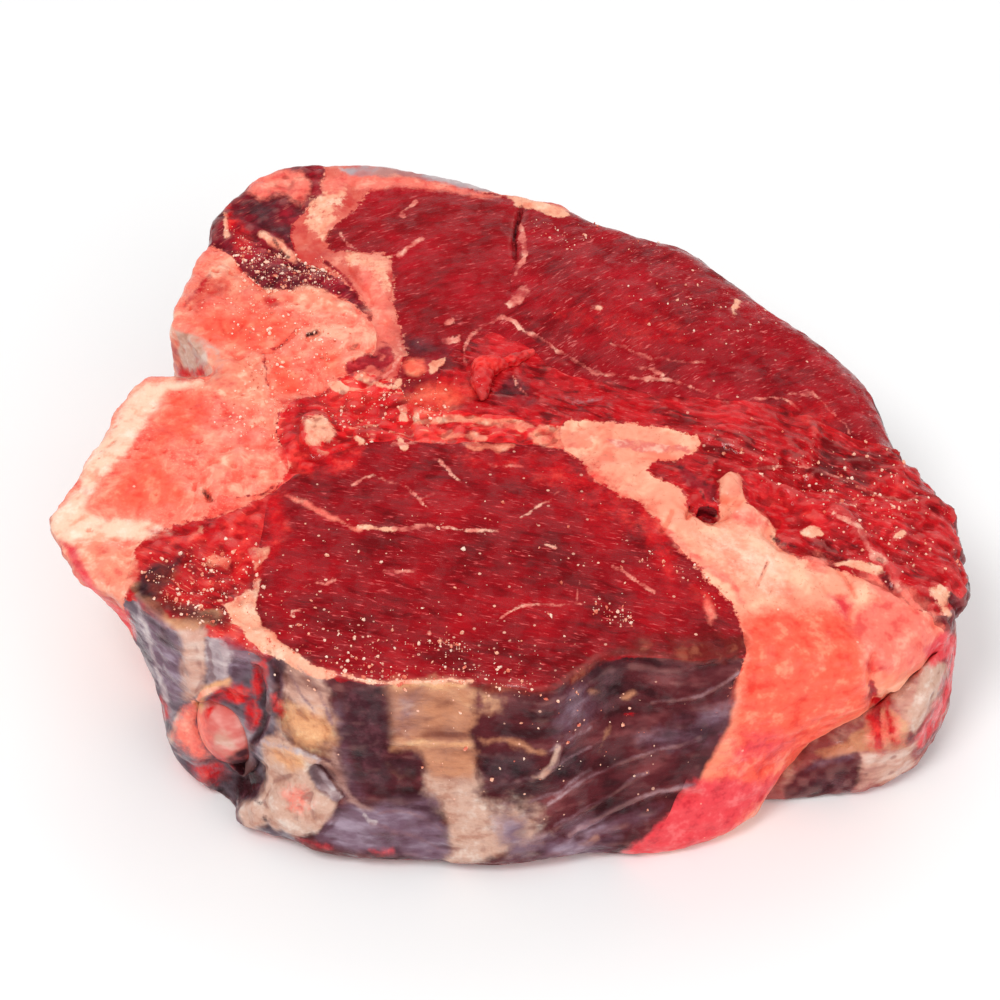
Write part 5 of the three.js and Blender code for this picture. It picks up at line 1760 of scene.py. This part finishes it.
def tissueMaterial(node, finish, shares):
    material = bpy.data.materials.new(node + "_tissue")
    material.use_nodes = True
    tree = material.node_tree
    surface = gloss[finish["ground"]]
    place = addNode(tree, "ShaderNodeTexCoord").outputs["Object"]
    fields = useGroup(tree, "fields", {"Place": place})
    own = ownGround(tree, place, finish)
    colour = layOver(tree, fields, own["Color"], attributeNode(tree, "side"), finish["wall"], "EdgeA")
    present = [tissue for tissue in tones if tissue in shares]
    for number, tissue in enumerate(present):
        edge = tones[tissue].get("edge", ("EdgeB", "EdgeA")[number % 2])
        colour = layOver(tree, fields, colour, attributeNode(tree, tissue), tones[tissue], edge)
    # painted shade in pits and painted highlight on crests, from the crest share
    colour = useGroup(tree, "crest", {
        "Below": colour, "Crest": attributeNode(tree, "crest"), "Depth": surface["depth"],
        "Pit": tint(surface["pit"])})["Color"]
    if "dust" in shares:
        colour = useGroup(tree, "dust", {
            "Place": place, "Below": colour, "Share": attributeNode(tree, "dust"), "Edge": fields["EdgeA"],
            "Speck": tint(dustColour)})["Color"]
    wetShader(tree, place, colour, own["Height"], surface)
    return material


def crumbMaterial():
    material = bpy.data.materials.new("saw_crumb")
    material.use_nodes = True
    tree = material.node_tree
    place = addNode(tree, "ShaderNodeTexCoord").outputs["Object"]
    grain = noiseNode(tree, place, 0.5, 2.0).outputs[0]
    value = maths(tree, "MULTIPLY_ADD", attributeNode(tree, "tone"), 0.4, times(tree, grain, 0.6))
    colour = threeTones(tree, value, tint((226, 110, 88)), tint((250, 180, 150)), tint((255, 220, 200)))
    wetShader(tree, place, colour, grain, gloss["fat"])
    return material


for node, piece in pieces.items():
    piece.data.materials.clear()
    piece.data.materials.append(tissueMaterial(node, finishes[node], pieceShares[node]))
    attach(piece, "root")
    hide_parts(node)
crumbPiece.data.materials.append(crumbMaterial())
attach(crumbPiece, "root")
print("materials made")

light = {
    "world": 0.62,
    "key": {"place": (-0.35, -0.55, 1.1), "size": 0.45, "watts": 6.0, "gloss": True},
    "fill": {"place": (0.7, -1.0, 0.7), "size": 1.4, "watts": 5.0, "gloss": False},
    "back": {"place": (0.2, 1.0, 0.9), "size": 1.2, "watts": 4.0, "gloss": False},
}
floorTone = 0.95


def makeLight(name, settings):
    data = bpy.data.lights.new(name, "AREA")
    data.shape, data.size, data.energy = "DISK", settings["size"], settings["watts"]
    lamp = bpy.data.objects.new(name, data)
    lamp.location = settings["place"]
    lamp.rotation_euler = (-Vector(settings["place"])).to_track_quat("-Z", "Y").to_euler()
    lamp.visible_glossy = settings["gloss"]
    bpy.context.scene.collection.objects.link(lamp)


def makeStage():
    world = bpy.data.worlds.new("studio")
    world.use_nodes = True
    world.node_tree.nodes["Background"].inputs["Color"].default_value = (1.0, 1.0, 1.0, 1.0)
    world.node_tree.nodes["Background"].inputs["Strength"].default_value = light["world"]
    bpy.context.scene.world = world
    for name in ("key", "fill", "back"):
        makeLight(name, light[name])
    reach = 3.0
    corners = [(-reach, -reach, 0.0), (reach, -reach, 0.0), (reach, reach, 0.0), (-reach, reach, 0.0)]
    floor = newObject("floor", newMesh("floor", corners, [(0, 1, 2, 3)]))
    finish = bpy.data.materials.new("floor_paint")
    finish.use_nodes = True
    shader = finish.node_tree.nodes["Principled BSDF"]
    shader.inputs["Base Color"].default_value = (floorTone, floorTone, floorTone, 1.0)
    shader.inputs["Roughness"].default_value = 0.9
    shader.inputs["Specular IOR Level"].default_value = 0.2
    floor.data.materials.append(finish)
    bpy.context.scene.view_settings.view_transform = "Standard"


makeStage()
print("stage made")
